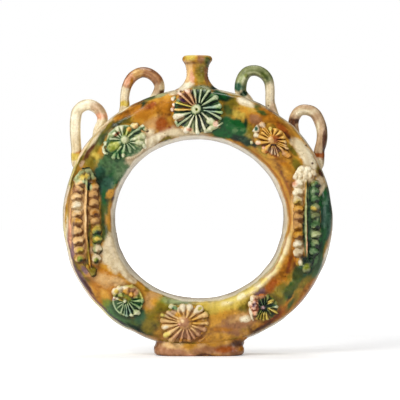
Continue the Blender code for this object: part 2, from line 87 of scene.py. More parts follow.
def through(knots, count):
    """A Catmull-Rom curve through the knots: between two of them it is the cubic whose slope at each knot is
    half the way from the knot before to the knot after. Sampled at count equal steps in the knot number."""
    knots = np.asarray(knots, float)
    ends = np.vstack([2 * knots[:1] - knots[1:2], knots, 2 * knots[-1:] - knots[-2:-1]])
    t = np.linspace(0, len(knots) - 1, count)
    i = np.minimum(t.astype(int), len(knots) - 2)
    f = (t - i)[:, None]
    a, b, c, d = ends[i], ends[i + 1], ends[i + 2], ends[i + 3]
    return .5 * (2 * b + (c - a) * f + (2 * a - 5 * b + 4 * c - d) * f ** 2 + (3 * b - a - 3 * c + d) * f ** 3)


def even(curve, count):
    """The same curve again, with its points at equal distances along it: straight-line interpolation over the
    length summed from its start."""
    length = np.concatenate([[0], np.cumsum(np.linalg.norm(np.diff(curve, axis=0), axis=1))])
    at = np.linspace(0, length[-1], count)
    return np.stack([np.interp(at, length, curve[:, k]) for k in range(curve.shape[1])], axis=1)


def around(table, angle):
    """A value that changes with the angle, through a table of (degrees, value), blended by the smooth step."""
    table = sorted(table)
    degrees = np.array([row[0] for row in table], float)
    values = np.array([row[1] for row in table], float)
    degrees = np.append(degrees, degrees[0] + 360)
    values = np.append(values, values[0])
    at = (np.degrees(angle) - degrees[0]) % 360 + degrees[0]
    i = np.clip(np.searchsorted(degrees, at, side="right") - 1, 0, len(degrees) - 2)
    t = (at - degrees[i]) / (degrees[i + 1] - degrees[i])
    t = t * t * (3 - 2 * t)
    return values[i] * (1 - t) + values[i + 1] * t

# %% [markdown]
# ## The form of the ring
# The ring was closed from two pressed faces and three bent strips of clay, so in section it is a crowned face,
# a soft edge and a steeper wall. It could be a torus, but a torus has no edge and no crown. Here one closed
# grid follows an oval round the ring and the section round the tube, and a table of small offsets lets the
# outline stray from the oval as the thumbs left it.

# %% The oval, the section and the straying hand
OVAL_HALF_WIDTH, OVAL_HALF_HEIGHT, RING_CENTRE = 98.5, 94.5, 123.5
TUBE_HALF, DEPTH_HALF = 22.5, 27.0
OVAL_STEPS, QUARTER_POINTS = 6, 400
OUTER_STRAY = [
    (0, 0), (20, -.1), (36, .2), (44, 0), (52, -1.4), (62, -1.1), (78, -1.2), (102, -1.0), (114, -.8), (128, 0),
    (138, -.1), (150, .1), (165, -.3), (180, -.2), (192, -.2), (201, 1.3), (210, 1.1), (217, 1.1), (224, .6),
    (230, 1.2), (235, .8), (243, -.4), (265, -.8), (290, -.7), (300, -.1), (312, .8), (320, 1.0), (330, .9),
    (340, 1.2), (350, .6),
]
HOLE_STRAY = [
    (0, 1.4), (8, 1.4), (16, .4), (30, -.4), (45, -1.1), (60, -1.6), (80, -1.7), (100, -1.4), (112, -1.6),
    (127, -1.3), (140, -1.6), (152, -2.0), (168, -2.3), (180, -1.8), (192, -1.8), (204, -.7), (222, .2), (240, .2),
    (262, .1), (272, .7), (284, 1.4), (298, 1.6), (310, 1.8), (320, 1.6), (332, 1.8), (345, 1.1),
]


def edges(angle):
    """Where the tube's inner and outer edges lie, measured across the centre line: half the tube plus the
    stray."""
    return -TUBE_HALF + around(HOLE_STRAY, angle), TUBE_HALF + around(OUTER_STRAY, angle)


def oval(angle, across):
    """The point at an angle on the oval centre line, moved outwards along the oval's normal by across."""
    out = np.stack([OVAL_HALF_HEIGHT * np.cos(angle), OVAL_HALF_WIDTH * np.sin(angle)], axis=-1)
    out /= np.linalg.norm(out, axis=-1, keepdims=True)
    x = OVAL_HALF_WIDTH * np.cos(angle) + out[..., 0] * across
    z = RING_CENTRE + OVAL_HALF_HEIGHT * np.sin(angle) + out[..., 1] * across
    return x, z


def find_on_oval(x, z):
    """The angle and distance across of a plan point: six steps that slide the angle along the oval until the
    point lies on its normal."""
    angle = np.arctan2((z - RING_CENTRE) / OVAL_HALF_HEIGHT, x / OVAL_HALF_WIDTH)
    for _ in range(OVAL_STEPS):
        tangent_x, tangent_z = -OVAL_HALF_WIDTH * np.sin(angle), OVAL_HALF_HEIGHT * np.cos(angle)
        miss_x = x - OVAL_HALF_WIDTH * np.cos(angle)
        miss_z = z - RING_CENTRE - OVAL_HALF_HEIGHT * np.sin(angle)
        angle = angle + (miss_x * tangent_x + miss_z * tangent_z) / (tangent_x ** 2 + tangent_z ** 2)
    out_x, out_z = OVAL_HALF_HEIGHT * np.cos(angle), OVAL_HALF_WIDTH * np.sin(angle)
    across = ((x - OVAL_HALF_WIDTH * np.cos(angle)) * out_x
              + (z - RING_CENTRE - OVAL_HALF_HEIGHT * np.sin(angle)) * out_z) / np.hypot(out_x, out_z)
    return angle, across


def share_across(x, z):
    """A plan point's angle, and its place across the tube from -1 at the hole to 1 at the outer edge."""
    angle, across = find_on_oval(x, z)
    inner, outer = edges(angle)
    return angle, (2 * across - inner - outer) / (outer - inner)


QUARTER = through([(0, 1), (.28, .995), (.52, .972), (.69, .925), (.80, .868), (.85, .80), (.90, .68), (.945, .50),
                   (.98, .28), (1.0, .10), (1.004, 0)], QUARTER_POINTS)
DRAPE = np.array([(0, 1), (.28, .995), (.5, .974), (.69, .93), (.80, .875), (.95, .76), (1.1, .66), (1.25, .59)])


def face_depth(share):
    """How far the crowned face stands off the ring's middle plane, at a share across; past the soft edge it
    falls more gently than the wall, because a sprig's clay bridges that corner."""
    return DEPTH_HALF * np.interp(np.abs(share), DRAPE[:, 0], DRAPE[:, 1])


def hand(points):
    """Slow swells of the pressed clay: three noises, of 34, 13 and 5 mm, each lower than the one before."""
    return .60 * noise(points, 34, 11) + .38 * noise(points, 13, 12) + .15 * noise(points, 5, 13)


print("quarter section has", len(QUARTER), "points, from", QUARTER[0], "to", QUARTER[-1])

# %% [markdown]
# ## The glaze
# A lead glaze runs. It lies thin and pale on every ridge and pools dark in every valley, so each colour here
# is three: thin, full and pooled. On and round the sprigs the pooled tone is also painted shade in the gaps, and
# their sides that face the lamp are painted paler and those turned away darker, as painted light. The potter
# dabbed splashes over a ground of honey. So do the next cells: each splash is a soft ellipse with a wandering
# edge, laid over those before it. An image would be the other way, but it would fix one size and one view,
# and this paints every side of the clay. A few of the splashes are painted highlights and shadows.

# %% The colours of the glaze
GLAZES = {
    "cream": ((240, 231, 208), (220, 203, 166), (146, 112, 70)),
    "pale": ((252, 247, 230), (240, 229, 198), (172, 146, 100)),
    "straw": ((242, 226, 136), (204, 176, 74), (102, 76, 22)),
    "honey": ((248, 208, 120), (200, 144, 48), (98, 56, 12)),
    "amber": ((236, 176, 92), (176, 112, 24), (74, 36, 8)),
    "rust": ((212, 134, 72), (146, 72, 18), (56, 24, 10)),
    "brown": ((150, 98, 62), (82, 44, 20), (30, 16, 10)),
    "olive": ((214, 198, 92), (126, 108, 26), (42, 38, 10)),
    "leaf": ((226, 226, 134), (124, 134, 40), (28, 40, 10)),
    "moss": ((178, 182, 98), (74, 86, 34), (18, 26, 10)),
    "green": ((178, 202, 142), (18, 84, 34), (2, 22, 10)),
    "bottle": ((112, 134, 100), (16, 44, 24), (4, 13, 8)),
    "teal": ((170, 192, 168), (44, 86, 64), (8, 30, 24)),
    "sage": ((198, 208, 168), (78, 112, 68), (6, 22, 14)),
    "celadon": ((244, 240, 212), (168, 178, 124), (12, 28, 17)),
    "pink": ((255, 228, 208), (220, 160, 122), (122, 62, 40)),
    "lilac": ((222, 198, 198), (136, 102, 104), (54, 32, 38)),
    "plum": ((150, 110, 140), (74, 38, 72), (30, 12, 32)),
    "buff": ((230, 206, 174), (188, 156, 120), (112, 78, 54)),
    "caramel": ((248, 218, 156), (196, 150, 90), (108, 66, 26)),
    "lichen": ((204, 204, 164), (128, 134, 88), (50, 60, 36)),
    "biscuit": ((255, 246, 208), (232, 190, 128), (100, 60, 26)),
    "clay": ((224, 176, 138), (168, 118, 82), (96, 58, 36)),
    "umber": ((214, 168, 122), (152, 104, 66), (84, 48, 26)),
    "fern": ((184, 200, 158), (56, 94, 58), (10, 30, 18)),
}


def linear(colour):
    """Screen values from 0 to 255 as light: the screen's gamma curve undone."""
    value = np.asarray(colour, float) / 255
    return np.where(value <= .04045, value / 12.92, ((value + .055) / 1.055) ** 2.4)


GLAZE_TONES = {name: linear(tones) for name, tones in GLAZES.items()}
print(len(GLAZE_TONES), "glazes of three tones")

# %% The splashes, as (glaze, x, z, half length, half width, turn, softness) in millimetres and degrees
FRONT_SPLASHES = [
    ("cream", -83.89, 198.7, 19.5, 4, 50, .6), ("moss", -84.77, 194.3, 13.3, 4, 54, .6),
    ("olive", -61.69, 211.1, 11.5, 4.4, 22, .6), ("moss", -70.57, 208.5, 9.77, 3.2, 38, .6),
    ("honey", -70.57, 212.9, 5.33, 2.1, 38, .6), ("olive", -78.56, 204, 7.99, 2.3, 48, .6),
    ("olive", -91.88, 181.8, 7.1, 3.2, 58, .5), ("brown", -95.43, 182.7, 8.88, 1.6, 58, .6),
    ("brown", -98.98, 176.5, 5.33, 2, 60, .7), ("straw", -90.1, 177.4, 4.44, 4, 0, .6),
    ("olive", -95.43, 172.1, 6.22, 3.6, 50, .6), ("honey", -38.6, 214.7, 19.5, 12, 22, .4),
    ("caramel", -42, 206, 14, 6, 32, .5), ("amber", -45.7, 217.3, 10.7, 7.1, 25, .6),
    ("amber", -28.83, 220.9, 8.88, 8, 0, .6), ("amber", -61.69, 217.3, 13.3, 2.7, 34, .5),
    ("amber", -53.69, 224.4, 8.88, 3.6, 30, .6), ("bottle", -52.81, 221.8, 7.99, 3.2, 32, .5),
    ("rust", -58.13, 218.2, 6.22, 2.3, 35, .6), ("moss", -42.15, 230.7, 7.1, 2.7, 22, .5),
    ("celadon", -33.27, 232.4, 6.22, 2.1, 18, .5), ("rust", -42.15, 222.7, 5.33, 2.7, 20, .7),
    ("green", -76.78, 165, 17.8, 12, 62, .3), ("sage", -82.11, 170.3, 11.5, 8, 70, .6),
    ("teal", -87.44, 163.2, 6.22, 5.3, 70, .6), ("sage", -67.01, 167.6, 10.7, 6.2, 62, .35),
    ("bottle", -85.66, 154.3, 8.88, 4.4, 75, .6), ("teal", -81.22, 150.7, 9.77, 5.3, 72, .4),
    ("moss", -82.11, 133, 13.3, 3.9, 88, .5), ("green", -83, 142.8, 7.99, 2.7, 85, .6),
    ("honey", -77.67, 144.5, 4.44, 3.2, 40, .4), ("brown", -75.45, 140.1, 3.55, 1.6, 60, .6),
    ("honey", -76.78, 129.4, 8.88, 2.7, 88, .6), ("honey", -80.33, 118.8, 7.99, 3.6, 88, .6),
    ("moss", -82.11, 109.9, 7.99, 2.7, 85, .6), ("cream", -75.89, 97.46, 15.1, 7.5, 78, .35),
    ("cream", -69.68, 84.14, 11.5, 7.1, 58, .35), ("cream", -77.67, 103.7, 6.22, 2.7, 80, .7),
    ("pale", -70.57, 87.7, 7.1, 2.7, 60, .7), ("buff", -38.5, 194.6, 22, 3.0, 26, .45),
    ("cream", -19.06, 199.4, 14.2, 2.8, 8, .45), ("cream", -45.7, 194.3, 8.88, 4.4, 38, .6),
    ("buff", -40, 196.0, 6.22, 1.8, 22, .7), ("cream", -6.63, 196.9, 14.2, 2.7, 4, .5),
    ("brown", -44.81, 199.6, 1.24, .8, 0, .3), ("brown", -26.17, 203.1, 1.33, .89, 0, .3),
    ("brown", -10.18, 200.5, 1.15, .8, 0, .3), ("straw", -113.2, 119.7, 30.2, 2.7, 88, .6),
    ("caramel", -112.3, 136.5, 14.2, 3, 84, .6), ("pink", -113.2, 110.8, 17.8, 2.3, 88, .6),
    ("lilac", -110.5, 98.35, 14.2, 1.6, 84, .6), ("pale", -116.7, 107.2, 16, 1.2, 88, .6),
    ("amber", -79.45, 65.5, 24, 10, -35, .14), ("caramel", -86.55, 69.05, 12.4, 5.3, -28, .7),
    ("biscuit", -67.9, 62.83, 10.7, 4.4, -38, .7), ("amber", -88.33, 54.84, 13.3, 7.1, -52, .35),
    ("honey", -93.65, 57.5, 10.7, 2.7, -55, .7), ("honey", -81.22, 53.95, 6.22, 3.6, -40, .7),
    ("lilac", -101.6, 68.16, 16, 1.6, -57, .7), ("brown", -97.21, 61.06, 11.5, 1.3, -53, .6),
    ("lilac", -100.8, 77.04, 4.44, 2.1, -50, .6), ("leaf", -79.45, 46.85, 4.44, 7.1, 60, .6),
    ("sage", -73.23, 39.74, 8.88, 7.1, -30, .45), ("sage", -63.46, 30.86, 10.7, 5.3, -15, .3),
    ("bottle", -70.57, 29.98, 7.99, 1.8, -28, .6), ("moss", -49.25, 27.31, 13.3, 5.3, -30, .5),
    ("bottle", -54.58, 24.65, 9.77, 2.1, -30, .6), ("olive", -41.26, 32.64, 7.99, 8, -30, .6),
    ("moss", -40.37, 20.21, 7.1, 2.1, -22, .6), ("caramel", -39.49, 50.4, 8.88, 7.1, -40, .4),
    ("honey", -36.82, 47.74, 5.33, 3.6, -40, .7), ("moss", -41.3, 61.6, 6.22, 2.3, -34, .5),
    ("green", -41.3, 61.1, 3.55, 1.4, -34, .5), ("leaf", -27.05, 46.85, 8.88, 6.2, 0, .6),
    ("umber", -32.38, 40.63, 6.22, 3.6, -10, .6), ("honey", -35.05, 27.31, 5.33, 8, 0, .6),
    ("amber", -11.96, 17.54, 24.9, 4.4, 0, .6), ("celadon", -10.18, 49.51, 19.5, 3.6, 0, .6),
    ("straw", 7.578, 47.74, 12.4, 4.4, 6, .6), ("straw", 21.79, 45.07, 14.2, 7.1, 10, .6),
    ("straw", 30.67, 47.74, 17.8, 4.4, 14, .6), ("pale", -1.302, 52.62, 16, 1.2, 0, .7),
    ("straw", 41.32, 54.84, 23.1, 4.4, 22, .55), ("straw", 64.41, 67.27, 16, 4.9, 40, .5),
    ("amber", 78.62, 84.14, 14.2, 3.9, 64, .5), ("buff", 57.31, 63.72, 16, 2, 36, .7),
    ("honey", 73.29, 77.04, 10.7, 1.8, 50, .7), ("honey", 27.11, 32.64, 17.8, 8, 8, .5),
    ("umber", 34.22, 29.09, 17.8, 7.1, 14, .6), ("caramel", 37.77, 34.42, 10.7, 2.7, 20, .8),
    ("amber", 21.79, 23.76, 10.7, 2.3, 0, .8), ("umber", 23.56, 20.21, 19.5, 2.3, 4, .7),
    ("cream", 43.1, 33.53, 5.68, 2.9, 12, .3), ("pale", 42.21, 33.53, 3.55, 1.4, 12, .5),
    ("brown", 59.08, 58.39, 7.99, 4.1, 30, .6), ("lilac", 57.31, 57.5, 6.22, 2.7, 20, .7),
    ("amber", 69.74, 66.38, 11.5, 5.3, 50, .5), ("rust", 66.19, 63.72, 7.99, 3.6, 45, .7),
    ("amber", 76.84, 77.04, 8.88, 3.2, 62, .6), ("rust", 83.06, 84.14, 9.77, 3.9, 70, .5),
    ("amber", 84.83, 82.37, 6.22, 1.6, 72, .6), ("olive", 74.18, 58.39, 7.99, 5.3, 50, .5),
    ("green", 82.17, 60.17, 11.5, 4.1, 60, .4), ("moss", 88.39, 65.5, 7.1, 4.4, 55, .5),
    ("bottle", 81.28, 53.06, 7.99, 1.6, 63, .6), ("green", 96.38, 78.82, 11.5, 7.1, 62, .45),
    ("teal", 93.71, 75.26, 7.99, 5.3, 40, .6), ("olive", 95.49, 65.5, 7.1, 3.9, 55, .6),
    ("amber", 99.04, 59.28, 11.5, 4.4, 57, .4), ("amber", 93.71, 51.29, 11.5, 3, 50, .5),
    ("amber", 76.84, 42.41, 13.3, 4.4, 44, .5), ("rust", 66.19, 33.53, 13.3, 3.2, 36, .6),
    ("brown", 57.31, 25.54, 11.5, 2, 28, .6), ("moss", 82.17, 46.85, 7.1, 2.3, 50, .7),
    ("sage", 107, 78.82, 9.77, 3.6, 62, .5), ("teal", 114.1, 127.7, 24.9, 6.2, 88, .28),
    ("green", 109.7, 142.8, 10.7, 5.3, 78, .35), ("green", 108.8, 98.35, 17.8, 5.8, 76, .38),
    ("bottle", 106.1, 90.36, 12.4, 2.3, 74, .6), ("cream", 110.6, 148.1, 7.1, 1.8, 60, .6),
    ("teal", 116.8, 119.7, 16, 2.1, 88, .7), ("cream", 114.1, 89.47, 7.99, 2, 72, .5),
    ("pale", 114.6, 92.14, 5.33, 1.2, 72, .6), ("bottle", 23.56, 229.8, 8.88, 4.4, -18, .5),
    ("green", 19.12, 232.4, 7.1, 4.4, -15, .5), ("olive", 31.55, 223.6, 5.33, 4, -30, .6),
    ("moss", 27.11, 219.1, 6.22, 3.6, -40, .6), ("cream", 43.99, 225.8, 8.44, 3.9, -20, .35),
    ("pale", 42.21, 227.1, 6.22, 2.1, -20, .6), ("straw", 35.11, 217.3, 3.91, 4.4, 0, .6),
    ("straw", 44.87, 215.6, 12.4, 6.2, -20, .45), ("amber", 51.98, 211.1, 8.88, 6.2, -30, .6),
    ("honey", 41.32, 220, 7.1, 2.7, -10, .7), ("moss", 54.64, 221.8, 4.44, 3, -40, .6),
    ("amber", 62.63, 214.7, 9.77, 4.4, -38, .5), ("amber", 64.41, 212.9, 7.1, 3.6, -42, .7),
    ("amber", 71.51, 206.7, 8.88, 4.1, -44, .5), ("rust", 76.84, 200.5, 7.99, 3.6, -48, .6),
    ("brown", 66.19, 219.6, 7.99, 1.5, -38, .6), ("brown", 82.17, 194.3, 7.1, 1.4, -50, .6),
    ("moss", 57.31, 216.5, 4.44, 1.8, -30, .7), ("green", 33.33, 203.1, 11.1, 8, 0, .32),
    ("fern", 28, 206.7, 7.1, 6.2, 0, .5), ("bottle", 42.21, 204, 7.1, 2.3, 80, .6),
    ("bottle", 29.78, 195.6, 10.7, 2, -10, .5), ("bottle", 43.1, 192.5, 7.1, 4.4, -28, .4),
    ("bottle", 49.31, 189.4, 6.22, 2, -35, .5), ("olive", 47.54, 200.5, 3.91, 5.3, 0, .7),
    ("honey", 57.31, 201.4, 6.22, 4.4, -20, .6), ("honey", 70.63, 174.7, 12.4, 7.1, -45, .4),
    ("amber", 75.95, 168.5, 9.77, 5.7, -60, .6), ("honey", 78.62, 159.6, 10.7, 4.8, -68, .6),
    ("rust", 66.19, 180.9, 7.1, 2.3, -34, .6), ("amber", 82.17, 146.3, 12.4, 3.9, -77, .5),
    ("biscuit", 83.95, 125, 16, 2.7, 90, .6), ("rust", 77.29, 155.2, 13.3, 1.3, -66, .6),
    ("brown", 80.39, 139.2, 10.7, .98, -78, .7), ("amber", 84.83, 100.1, 10.7, 2.3, 84, .6),
    ("cream", 93.71, 183.6, 12.4, 5.7, -52, .35), ("pale", 99.04, 173.8, 11.5, 5.7, -58, .4),
    ("cream", 87.5, 190.7, 5.33, 3.6, -40, .5), ("olive", 89.27, 169.4, 7.99, 3.6, -60, .5),
    ("cream", 94.6, 179.2, 7.99, 2.7, -55, .8), ("olive", 84.83, 183.6, 7.1, 1.8, -55, .7),
    ("olive", 108.8, 165, 4.44, 2.7, -60, .5), ("brown", 110.1, 162.3, 3.91, 1.8, -64, .5),
    ("cream", 109.7, 156.1, 3.55, 3.6, -70, .5), ("brown", 102.6, 172.1, 1.15, .89, 0, .3),
    ("brown", 96.38, 187.2, 1.07, .8, 0, .3), ("cream", -50.1, 186.3, 10, 5, 40, .4),
    ("cream", -47, 189, 5, 2, 40, .6), ("amber", -57.2, 219.1, 8, 4, 35, .5), ("rust", -31.5, 206.7, 7, 7, 0, .6),
    ("cream", -53, 182, 15, 5.5, 45, .3), ("pale", -42, 191.5, 12, 4, 32, .4), ("cream", -68, 85, 15, 5, -58, .3),
    ("cream", -61, 74, 9, 5, -48, .3), ("buff", -88, 93, 4, 8, 75, .5), ("green", 31, 203, 13, 8, -12, .25),
    ("green", 20.5, 198.5, 10, 4.6, -18, .3), ("bottle", 38, 194, 9, 2.6, -28, .5), ("fern", -52, 37, 6, 9, 15, .5),
    ("umber", 52, 210, 6, 4, -40, .6), ("moss", 79.5, 59.3, 6, 5, 40, .5), ("moss", 90, 73.5, 6, 5, 40, .9),
    ("sage", 107, 85, 8, 4, 70, .5), ("honey", 20, 17, 12, 4, 0, .5), ("caramel", -20, 17, 10, 4, 0, .5),
    ("cream", -77, 92, 13, 7.5, 100, .25), ("moss", -83.5, 124, 12, 2.2, 92, .6), ("cream", -20, 234, 5, 3, 0, .5),
    ("buff", -104, 172, 3, 2, 60, .5), ("cream", -79, 88, 6, 7, 100, .4), ("olive", -41, 27, 8, 7, 30, .7),
    ("olive", -33, 42, 8, 5, 20, .6),
]
SPRIG_SPLASHES_AND_LIGHT = [
    ("sage", -.2871, 219.9, 26.6, 25, 0, .2), ("sage", .03, 232.6, 8.25, 8.2, 0, .3),
    ("celadon", .9814, 205.9, 10.8, 9.5, 0, .35), ("sage", 16.2, 227.5, 8.25, 3.8, 30, .4),
    ("green", 20.01, 218.6, 5.07, 3.8, 0, .5), ("teal", 11.13, 219.9, 5.71, 3.8, 0, .5),
    ("umber", -10.44, 230.7, 12.1, 6, -48, .35), ("pink", -16.14, 234.5, 2.92, 2.9, 0, .5),
    ("pink", -8.533, 236.4, 3.81, 2.5, 0, .6), ("plum", -13.48, 227.7, 2.79, 1.3, -25, .5),
    ("olive", -12.34, 224.2, 7.93, 1.3, -15, .4), ("honey", -12.97, 219.4, 7.93, 1.3, 0, .4),
    ("brown", -12.97, 221.7, 6.98, .57, -8, .6), ("pink", -21.98, 223.7, 6.98, 1.9, 90, .5),
    ("cream", -16.78, 236.5, 3.81, 1.5, 40, .5), ("cream", -17.41, 212.3, 5.71, 3.2, 15, .4),
    ("cream", -13.61, 200.9, 9.51, 3.8, 0, .4), ("pink", -6.947, 201.8, 2.66, 1.6, 0, .6),
    ("celadon", 13.67, 205.9, 5.71, 5.7, 0, .35), ("pink", 16.2, 206.6, 2.16, 2.5, 0, .7),
    ("bottle", 23.18, 227.5, 7.61, 1.5, 90, .6), ("celadon", -1.429, 219.6, 4.06, 3.8, 0, .3),
    ("leaf", -.5409, 219.5, 1.01, 1.4, 0, .3), ("sage", -64.86, 191.1, 21.6, 16, 32, .25),
    ("celadon", -82.3, 184.1, 5.71, 2.2, 80, .5), ("leaf", -74.05, 186.6, 6.03, 4.4, 20, .45),
    ("green", -69.3, 180.3, 8.25, 3.8, 10, .45), ("celadon", -65.87, 178.9, 1.78, 1.4, 0, .5),
    ("sage", -60.42, 185.4, 4.44, 4.4, 0, .5), ("celadon", -50.9, 192.4, 6.34, 6.7, 0, .4),
    ("cream", -50.9, 193.6, 1.9, 2.8, 0, .7), ("straw", -47.73, 197.4, 2.16, 2.2, 0, .6),
    ("leaf", -62.95, 198.7, 3.17, 3.8, 0, .6), ("honey", -60.67, 201.9, 2.28, 2.2, 0, .5),
    ("caramel", -55.34, 204.9, 3.17, 2.5, 0, .5), ("caramel", -55.34, 203.8, 2.54, .89, 0, .7),
    ("sage", -52.81, 200.6, 8.25, 2.2, 34, .4), ("celadon", -48.37, 205.4, 2.16, 1.3, 34, .5),
    ("celadon", -71.71, 200, 6.98, 4.2, 42, .5), ("brown", -71.71, 197.1, 3.81, 1.3, 40, .7),
    ("sage", -75.64, 200.6, 2.92, 1.9, 40, .6), ("celadon", -63.91, 193, 3.81, 3.8, 0, .4),
    ("amber", 67.58, 192, 19, 18, -30, .25), ("honey", 67.58, 192, 15.2, 15, 0, .7),
    ("honey", 75.19, 193.9, 3.81, 7, 0, .5), ("honey", 71.39, 199.6, 3.81, 2.2, -30, .5),
    ("straw", 64.09, 202.1, 1.9, 1.9, 0, .6), ("cream", 51.6, 196.7, 2.54, 2.2, 0, .5),
    ("cream", 52.99, 190.4, 2.28, 1.9, 0, .5), ("pink", 53.75, 189.4, 1.9, 1.3, 0, .6),
    ("pink", 58.45, 185.6, 1.52, 1.5, 0, .5), ("rust", 68.85, 192.9, 4.44, 4.1, 0, .6),
    # On the upper right rosette's boss the caramel spot at its left is a painted highlight, and the brown spot under
    # the boss a painted shadow.
    ("caramel", 65.04, 192, 2.79, 3.2, 0, .6), ("brown", 67.45, 188, 3.3, 1.1, 0, .5),
    ("buff", 66.95, 181.8, 5.07, 3.2, -20, .6), ("plum", 74.24, 178, 2.54, 2.2, -45, .5),
    ("rust", 62.51, 180.6, 3.81, 1.4, -30, .6), ("buff", 57.69, 205.7, 2.66, 2.3, 0, .5),
    ("pale", 51.09, 202.9, 4.19, 3.8, 0, .45), ("teal", 52.49, 202.4, 1.65, 2.2, 0, .6),
    ("celadon", 48.05, 190.1, 1.52, 1.5, 0, .6), ("amber", 81.22, 178, 5.07, 3.8, 0, .5),
    ("brown", 81.22, 183.1, 5.07, .89, -40, .7), ("leaf", -62.46, 49.84, 14.5, 15, 0, .3),
    ("sage", -69.12, 44.29, 8.32, 8.3, 0, .6), ("cream", -71.34, 58.72, 5, 3.3, 20, .5),
    ("straw", -71.9, 58.17, 2.44, 2.2, 0, .6), ("honey", -62.46, 58.72, 3.89, 3.3, 0, .5),
    ("umber", -56.91, 57.61, 5, 5, 0, .5), ("honey", -58.58, 55.39, 2.55, 2.2, 0, .7),
    ("cream", -66.35, 60.94, 3.89, 1.7, 10, .6), ("olive", -66.35, 51.51, 5, 2.2, 0, .7),
    ("sage", -58.58, 41.52, 9.99, 6.1, 30, .5), ("green", -53.03, 48.18, 6.66, 3.9, 0, .45),
    ("teal", -61.35, 39.85, 3.33, 5, 0, .6), ("celadon", -53.86, 39.3, 3.89, 2.8, 40, .4),
    ("celadon", -58.58, 36.8, 1.89, 1.6, 0, .5), ("pale", -74.12, 51.51, 1.44, 3.9, 90, .6),
    ("lilac", -74.67, 50.95, .777, 2.2, 90, .7), ("celadon", -64.41, 49.29, 1.44, 1.9, 0, .5),
    ("moss", 59.58, 44.09, 13.3, 12, 0, .3), ("bottle", 59.58, 46.06, 7.4, 5.9, 0, .6),
    ("pink", 49.46, 44.58, 9.37, 4.4, 90, .4), ("cream", 47.24, 50.01, 3.95, 2.5, 70, .5),
    ("cream", 47.74, 38.17, 6.41, 1.7, -70, .5), ("lilac", 50.2, 46.06, 2.96, 1.5, 60, .7),
    ("umber", 56.12, 53.71, 4.44, 2.3, 10, .5), ("rust", 57.6, 55.43, 3.95, 1.2, 10, .7),
    ("lilac", 58.19, 43.89, 1.87, 1.7, 0, .6), ("straw", 64.51, 49.02, 2.96, 1.5, 20, .6),
    ("straw", 66.98, 41.13, 4.44, 1.5, -28, .45), ("celadon", 70.18, 44.48, 1.68, 1.2, 0, .5),
    ("teal", 67.47, 45.57, 2.47, .79, 0, .6), ("straw", 60.32, 35.7, 4.44, 3.5, 0, .5),
    ("olive", 56.12, 35.21, 2.96, 2.5, 0, .6), ("caramel", -11.64, 29.98, 22.2, 18, 0, .3),
    ("olive", -29.08, 35.68, 4.44, 3.2, -40, .6), ("honey", -3.078, 31.24, 8.25, 3.8, 0, .7),
    ("umber", 4.5, 24.5, 7, 4.4, 0, .7), ("clay", -9, 18, 13, 7, 0, .7), ("amber", -13.23, 14.75, 6.98, 1.5, 0, .8),
    ("cream", -6.884, 43.93, 2.92, 3.8, 60, .45), ("cream", .7277, 42.66, 5.07, 3.6, 40, .4),
    ("olive", 1.996, 42.66, 2.16, 1.5, 40, .5), ("cream", -13.23, 43.3, 3.81, 3.8, 0, .5),
    ("celadon", -22.99, 44.56, 2.16, 1.6, 0, .5), ("green", -19.82, 42.98, 2.16, 2.5, 0, .5),
    ("honey", -16.52, 37.46, 3.3, 1.9, 0, .55), ("buff", -24.01, 38.22, 5.07, 2.2, 30, .7),
    ("caramel", -27.82, 29.98, 5.07, 5.7, 0, .7), ("cream", -28.45, 26.17, 2.54, 1.5, 0, .7),
    ("straw", -27.82, 19.51, 3.81, 2.2, 30, .6), ("clay", -11.32, 30.61, 4.6, 4.4, 0, .5),
    ("pink", -16.4, 28.71, 1.52, 1.9, 0, .8), ("biscuit", -104.3, 117.9, 30.2, 8, 88, .35),
    ("biscuit", -106.1, 137.4, 19.5, 6.2, 88, .7), ("pale", -106.1, 133.9, 4.44, 4.8, 0, .6),
    ("umber", -107.9, 149.9, 5.33, 3.6, 60, .6), ("biscuit", -104.3, 154.3, 5.33, 3.9, 40, .6),
    ("honey", -107.9, 119.7, 4.44, 3.6, 0, .6), ("biscuit", -108.8, 111.7, 7.1, 4.4, 88, .7),
    ("buff", -111.8, 103.7, 19.5, 1.6, 84, .6), ("biscuit", -106.5, 102.8, 3.55, 3.6, 0, .6),
    ("straw", -104.3, 94.36, 3.02, 3, 0, .5), ("caramel", -105.2, 86.36, 6.22, 3.9, 70, .5),
    ("leaf", -104.3, 86.81, 2.66, 2.7, 0, .5), ("biscuit", -99.34, 133.9, 19.5, 1.6, 90, .5),
    ("caramel", -98.45, 107.2, 19.5, 1.4, 86, .5), ("olive", -95.79, 112.6, 37.3, 1.0, 87, .5),
    ("celadon", -98.09, 154.3, 5.33, 1.8, -30, .5), ("caramel", -91.52, 139.2, 14.2, 5.7, 90, .4),
    ("caramel", -91.88, 136.5, 4.44, 3.6, 0, .7), ("caramel", -90.63, 124.1, 7.99, 5.7, 90, .5),
    ("amber", -90.63, 127.7, 2.66, 2.1, 0, .6), ("straw", -89.21, 111.7, 4.44, 5.3, 0, .5),
    ("sage", -88.68, 108.1, 4.44, 5.3, 0, .6), ("leaf", -88.33, 102.8, 4.44, 5.3, 0, .5),
    ("straw", -88.68, 104.6, 2.66, 1.8, 0, .6), ("celadon", -88.33, 94.8, 4.44, 5.7, 0, .4),
    ("cream", -87.97, 96.58, 3.02, 3.6, 0, .5), ("cream", -89.21, 86.81, 4.8, 4.4, 0, .45),
    ("leaf", -89.57, 85.39, 2.31, 2.7, 0, .5), ("olive", -92.77, 74.73, 4.44, 5.3, 0, .45),
    ("olive", -94.01, 75.62, 2.31, 2.3, 0, .6), ("lichen", -98.09, 161.8, 7.99, 5.3, 0, .4),
    ("celadon", -105.2, 159.6, 5.33, 2.7, 60, .5), ("straw", -100.8, 160.5, 4.44, 3, 20, .6),
    ("bottle", -98.98, 168, 8.88, 1.6, 0, .45), ("celadon", -107.5, 160.5, 5.33, 1.4, 60, .5),
